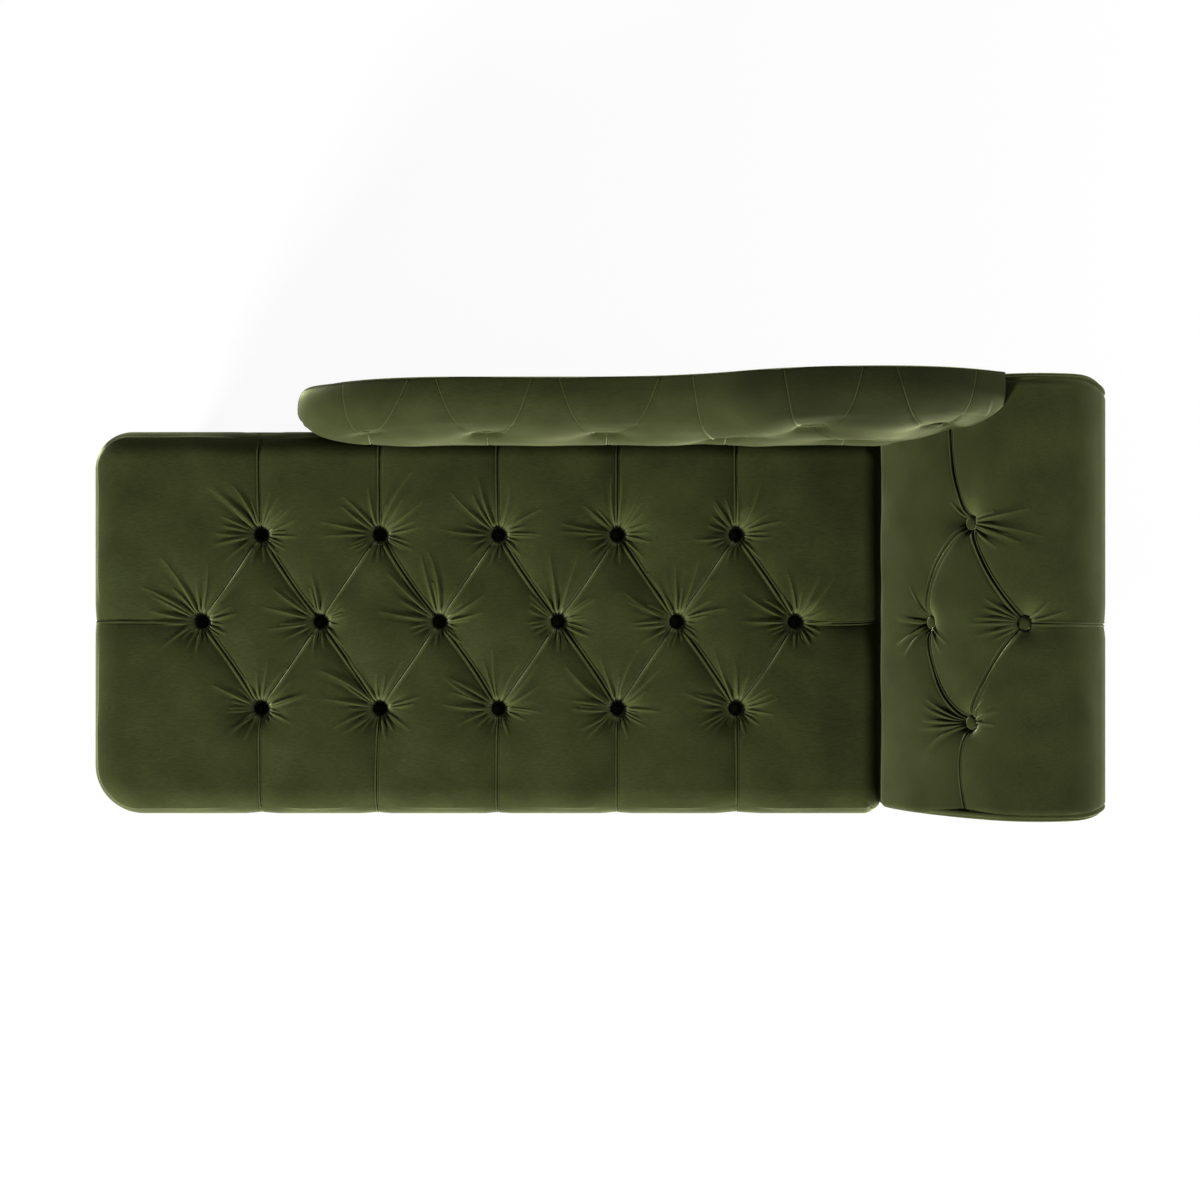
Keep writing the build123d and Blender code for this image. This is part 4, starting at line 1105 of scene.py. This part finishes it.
def build_back(base, tufts):
    """The back's padding above the seat: rounded along its rim, and swelling forward below it."""
    grid_x = np.repeat(base.x[:, None], base.v.shape[1], axis=1)
    over = base.points[..., 2] - base.bottom[:, None]
    height, painted_light = tufts.height(grid_x, base.v)
    height = height * (0.3 + 0.7 * ease(over / 0.03)) * ease((grid_x - base.x[0]) / 0.025)
    # Painted shade on the hump and head end, a painted highlight along the bottom
    painted_light += back_painted_light(grid_x, base.points[..., 2])
    points = base.points + base.normals * back_limit(height, base.away)[..., None]

    rows, columns = points.shape[:2]
    behind = join(base.x, BACK_REAR, base.bottom)
    first = rows * columns
    at = np.arange(first).reshape(rows, columns)
    rear = first + np.arange(rows)
    faces = lattice(rows, columns)
    faces += join(at[:-1, -1], at[1:, -1], rear[1:], rear[:-1]).tolist()
    caps = [
        at[:, 0].tolist() + rear[::-1].tolist(),
        at[0].tolist() + [int(rear[0])],
        at[-1, ::-1].tolist() + [int(rear[-1])],
    ]

    points = np.concatenate([points.reshape(-1, 3), behind])
    inside = []
    for strip in tufts.folds():
        u, v = strip[:2]
        end = np.interp(u, base.x, base.v[:, -1])
        keep = ((v > 0.001) & (v < end - 0.020)).all(axis=1)
        if keep.sum() > 4:
            inside.append([part[keep] for part in strip])

    def fold_place(u, v, lift):
        return base.place(u, v, tufts.plain(u, v) + lift)

    folds, fold_faces, fold_crease = fold_mesh(inside, fold_place, len(points))
    # The same painted shade and painted highlight on the back's folds
    fold_crease += back_painted_light(folds[:, 0], folds[:, 2])
    faces = turned(faces + fold_faces) + caps
    painted_light = np.concatenate([painted_light.ravel(), np.zeros(rows), fold_crease])
    points = np.concatenate([points, folds])
    piece = make_piece("back_cover_tufted", points, faces, shaded_upright_velvet, len(caps), painted_light)
    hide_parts("back_cover")


def back_outline(trim):
    """The back's rear outline, clockwise from its lower foot corner, cut to the head end."""
    tip = TIP_X - TIP_R * np.sin(np.linspace(math.pi / 2, 0, 60))
    x = np.concatenate([tip[:-1], np.linspace(TIP_X, BACK_HEAD - 0.003, 150)])
    lean = np.clip((TIP_X - x) / TIP_R, 0, 1) ** 2
    upper = join(x + FOOT_INSET * lean, crest(x) - 0.006 * (1 - lean))
    under_x = np.linspace(BACK_HEAD - 0.003, ARM_INNER - trim, 50)
    under = join(under_x, np.maximum(arm_top(under_x + trim) + trim, 0.4))
    low = [(ARM_INNER - trim, BACK_BOTTOM), (BACK_FOOT + FOOT_INSET, BACK_BOTTOM)]
    return np.concatenate([upper, under, low])


# Border round the seat


def build_border():
    """The upholstered band round the seat frame, with a slightly full face and a welt over it."""
    x0, y0, y1 = X_FOOT + BORDER_INSET, Y_FRONT + BORDER_INSET, SEAT_REAR
    corner = CORNER - BORDER_INSET
    path = [(x, y0) for x in np.linspace(SEAT_END, x0 + corner, 180)]
    for centre_y, start in ((y0 + corner, 270), (y1 - corner, 180)):
        for angle in np.radians(start - np.linspace(0, 90, 18)[1:]):
            path.append((x0 + corner + corner * math.cos(angle), centre_y + corner * math.sin(angle)))
        if start == 270:
            path += [(x0, y) for y in np.linspace(y0 + corner, y1 - corner, 80)[1:]]
    path += [(x, y1) for x in np.linspace(x0 + corner, SEAT_END, 180)[1:]]
    path = np.array(path)
    ahead = unit(np.gradient(path, axis=0))
    outward = join(-ahead[:, 1], ahead[:, 0])
    outward *= np.sign((outward * (path - np.array([0.0, SEAT_MIDDLE]))).sum(axis=-1, keepdims=True))
    tall = FOAM_TOP - LEG_TOP
    length = np.concatenate([[0], np.cumsum(np.linalg.norm(np.diff(path, axis=0), axis=-1))])
    turn = [(-0.0078, 0.0), (-0.003, 0.0), (-0.0008, 0.0010), (0.0, 0.004)]
    profile = turn + [(0.0012 * math.sin(math.pi * t), t * tall) for t in np.linspace(0.06, 0.94, 14)]
    profile += [(off, tall - up) for off, up in turn[::-1]]
    lines = []
    for off, up in profile:
        ripple = 0.0004 * np.sin(70 * length + 3 * np.sin(9 * length)) * math.sin(math.pi * up / tall)
        where = path + outward * (off + ripple)[:, None]
        lines.append(join(*where.T, LEG_TOP + up))
    piece = wrap_rings("seat_border_cloth", np.stack(lines, axis=1), velvet)
    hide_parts("seat_border")
    welt = join(*(path + outward * 0.0035).T, FOAM_TOP - 0.0045)
    build_cord("seat_border_welt", welt[: int(np.argmax(path[:, 1] > y1 - 0.014))])


# The pieces

seat_tufts = seat_tufting()
build_seat(seat_tufts)
seat_places = [((x, y, SEAT_TOP - 0.042), (0, 0, 1)) for (x, y), _ in seat_tufts.buttons]
# The seat's buttons take the painted shade of their deep holes
build_buttons("seat_buttons_covered", "seat_buttons", seat_places, shaded_deep_velvet)
build_border()
build_arm(arm_tufting())
arm_spots = [(ARM_LOW, SEAT_MIDDLE), (ARM_HIGH, SEAT_MIDDLE)]
arm_spots += [(ARM_SIDE, SEAT_MIDDLE + ARM_REACH), (ARM_SIDE, SEAT_MIDDLE - ARM_REACH)]
arm_places = [arm_spot(angle, y, 0.025) for angle, y in arm_spots]
build_buttons("arm_buttons_covered", "arm_buttons", arm_places, button_velvet)
facing = scroll_outline(FACING_INSET, LEG_TOP)
for name, near, far, drawn in (
    ("front", BOARD_FRONT, ARM_FRONT, FRONT_DRAWN),
    ("rear", BOARD_REAR, Y_REAR, REAR_DRAWN),
):
    build_panel(f"arm_{name}_facing_cloth", f"arm_{name}_facing", facing, near, far, drawn=drawn)
    x, z = scroll_outline(0.0045, LEG_TOP + 0.004)[:-1].T
    depth = near - math.copysign(drawn, far) * drawn_share(x)
    build_cord(f"arm_{name}_welt", join(drawn_tight(x), depth, z))
build_outer_panel()
back_base = BackBase()
build_back(back_base, back_tufting(back_base))
back_places = [((x, BUTTON_BACK, z), (0, -1, 0)) for x, z in BACK_SPOTS]
build_buttons("back_buttons_covered", "back_buttons", back_places, button_velvet)
rear_outline = back_outline(0.001)
build_panel("back_rear_panel_cloth", "back_rear_panel", rear_outline, BACK_REAR, Y_REAR, 0.005)
# The lower band behind the seat: round the foot post and across the deck
wrap_turn = np.linspace(0, math.asin((BACK_PAD_BOTTOM + 0.004 - TIP_Z) / TIP_R), 8)
wrap = [(BACK_FOOT, z) for z in np.linspace(BACK_BOTTOM, TIP_Z, 20)[:-1]]
wrap += [(TIP_X - TIP_R * math.cos(a), TIP_Z + TIP_R * math.sin(a)) for a in wrap_turn]
wrap = np.array(wrap + [(0.478, 0.4455), (0.478, BACK_BOTTOM)])
build_panel("back_wrap_cloth", "back_cover", wrap, BACK_REAR, BACK_DECK + 0.002, 0.010, 0.001)
apron = walk([(-0.470, 0.335), (-0.470, 0.4465), (0.5028, 0.4465), (0.5028, 0.335)], (11, 89, 11, 89))
apron_rear, apron_face = BACK_DECK - 0.0006, BACK_DECK - 0.0040
build_panel("back_apron_cloth", "back_cover", apron, apron_rear, apron_face, 0.0012, 0.0)

for name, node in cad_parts.items():
    if not node.hide_render:
        node.data.materials.clear()
        node.data.materials.append(inner_materials[inner_slot(name)])

# Studio

FLOOR_FLAT, FLOOR_COVE, FLOOR_WHITE = 20, 10, 0.92
AIM = (0.0, 0.0, 0.4)
CAMERA_PLACE, CAMERA_LENS = (0.020, 0.0038, 4.63), 73.257


def build_floor():
    """A round white floor that curves up far out, shows white to the camera and keeps a soft shadow."""
    mesh = bpy.data.meshes.new("floor")
    turn = np.linspace(0, 2 * math.pi, 64, endpoint=False)
    rise = np.radians(np.linspace(0, 85, 18))
    far = np.concatenate([[4.0, 10.0], FLOOR_FLAT + FLOOR_COVE * np.sin(rise)])[:, None]
    up = np.concatenate([[0.0, 0.0], FLOOR_COVE - FLOOR_COVE * np.cos(rise)])[:, None]
    rings = join(far * np.cos(turn), far * np.sin(turn), up)
    faces = lattice(*rings.shape[:2], 0, True) + [list(range(len(turn)))]
    mesh.from_pydata(rings.reshape(-1, 3).tolist(), [], faces)
    mesh.shade_smooth()
    floor = add_object("floor", mesh)
    material, tree, shader = new_material("floor_white", (0.90, 0.90, 0.90), 0.9, 0.1)
    rays = add_node(tree, "LightPath").outputs
    seen = rays["Is Camera Ray"]
    for ray in ("Is Glossy Ray", "Is Transmission Ray"):
        either = add_node(tree, "Math", links={0: seen, 1: rays[ray]})
        either.operation = "MAXIMUM"
        seen = either.outputs["Value"]
    share = add_node(tree, "Math", {1: FLOOR_WHITE}, {0: seen})
    share.operation = "MULTIPLY"
    glow = add_node(tree, "Emission", {"Color": (1, 1, 1, 1), "Strength": 1.0})
    looks = {"Fac": share.outputs["Value"], 1: shader.outputs["BSDF"], 2: glow.outputs["Emission"]}
    mix = add_node(tree, "MixShader", links=looks)
    tree.links.new(mix.outputs["Shader"], tree.nodes["Material Output"].inputs["Surface"])
    mesh.materials.append(material)


def build_lamp(name, place, size, power):
    """A square soft light aimed at the middle of the object."""
    lamp = bpy.data.lights.new(name, "AREA")
    lamp.shape = "SQUARE"
    lamp.size = size
    lamp.energy = power
    piece = add_object(name, lamp)
    piece.location = place
    aim = add_object(name + "_aim", None)
    aim.location = AIM
    follow = piece.constraints.new("TRACK_TO")
    follow.target = aim
    follow.track_axis = "TRACK_NEGATIVE_Z"
    follow.up_axis = "UP_Y"


build_floor()
build_lamp("key", (-4.7, -5.9, 3.00), 2.1, 1600)
build_lamp("fill", (3.6, 0.8, 2.4), 2.2, 200)

world = bpy.data.worlds.new("studio")
bpy.context.scene.world = world
world.use_nodes = True
sky = world.node_tree.nodes["Background"].inputs
sky["Color"].default_value = (1, 1, 1, 1)
sky["Strength"].default_value = 0.13

camera = bpy.data.cameras.new("camera")
camera.sensor_width = 36
camera.lens = CAMERA_LENS
camera.clip_end = 60
eye = add_object("camera", camera)
eye.location = CAMERA_PLACE
bpy.context.scene.camera = eye
bpy.context.scene.view_settings.view_transform = "Standard"
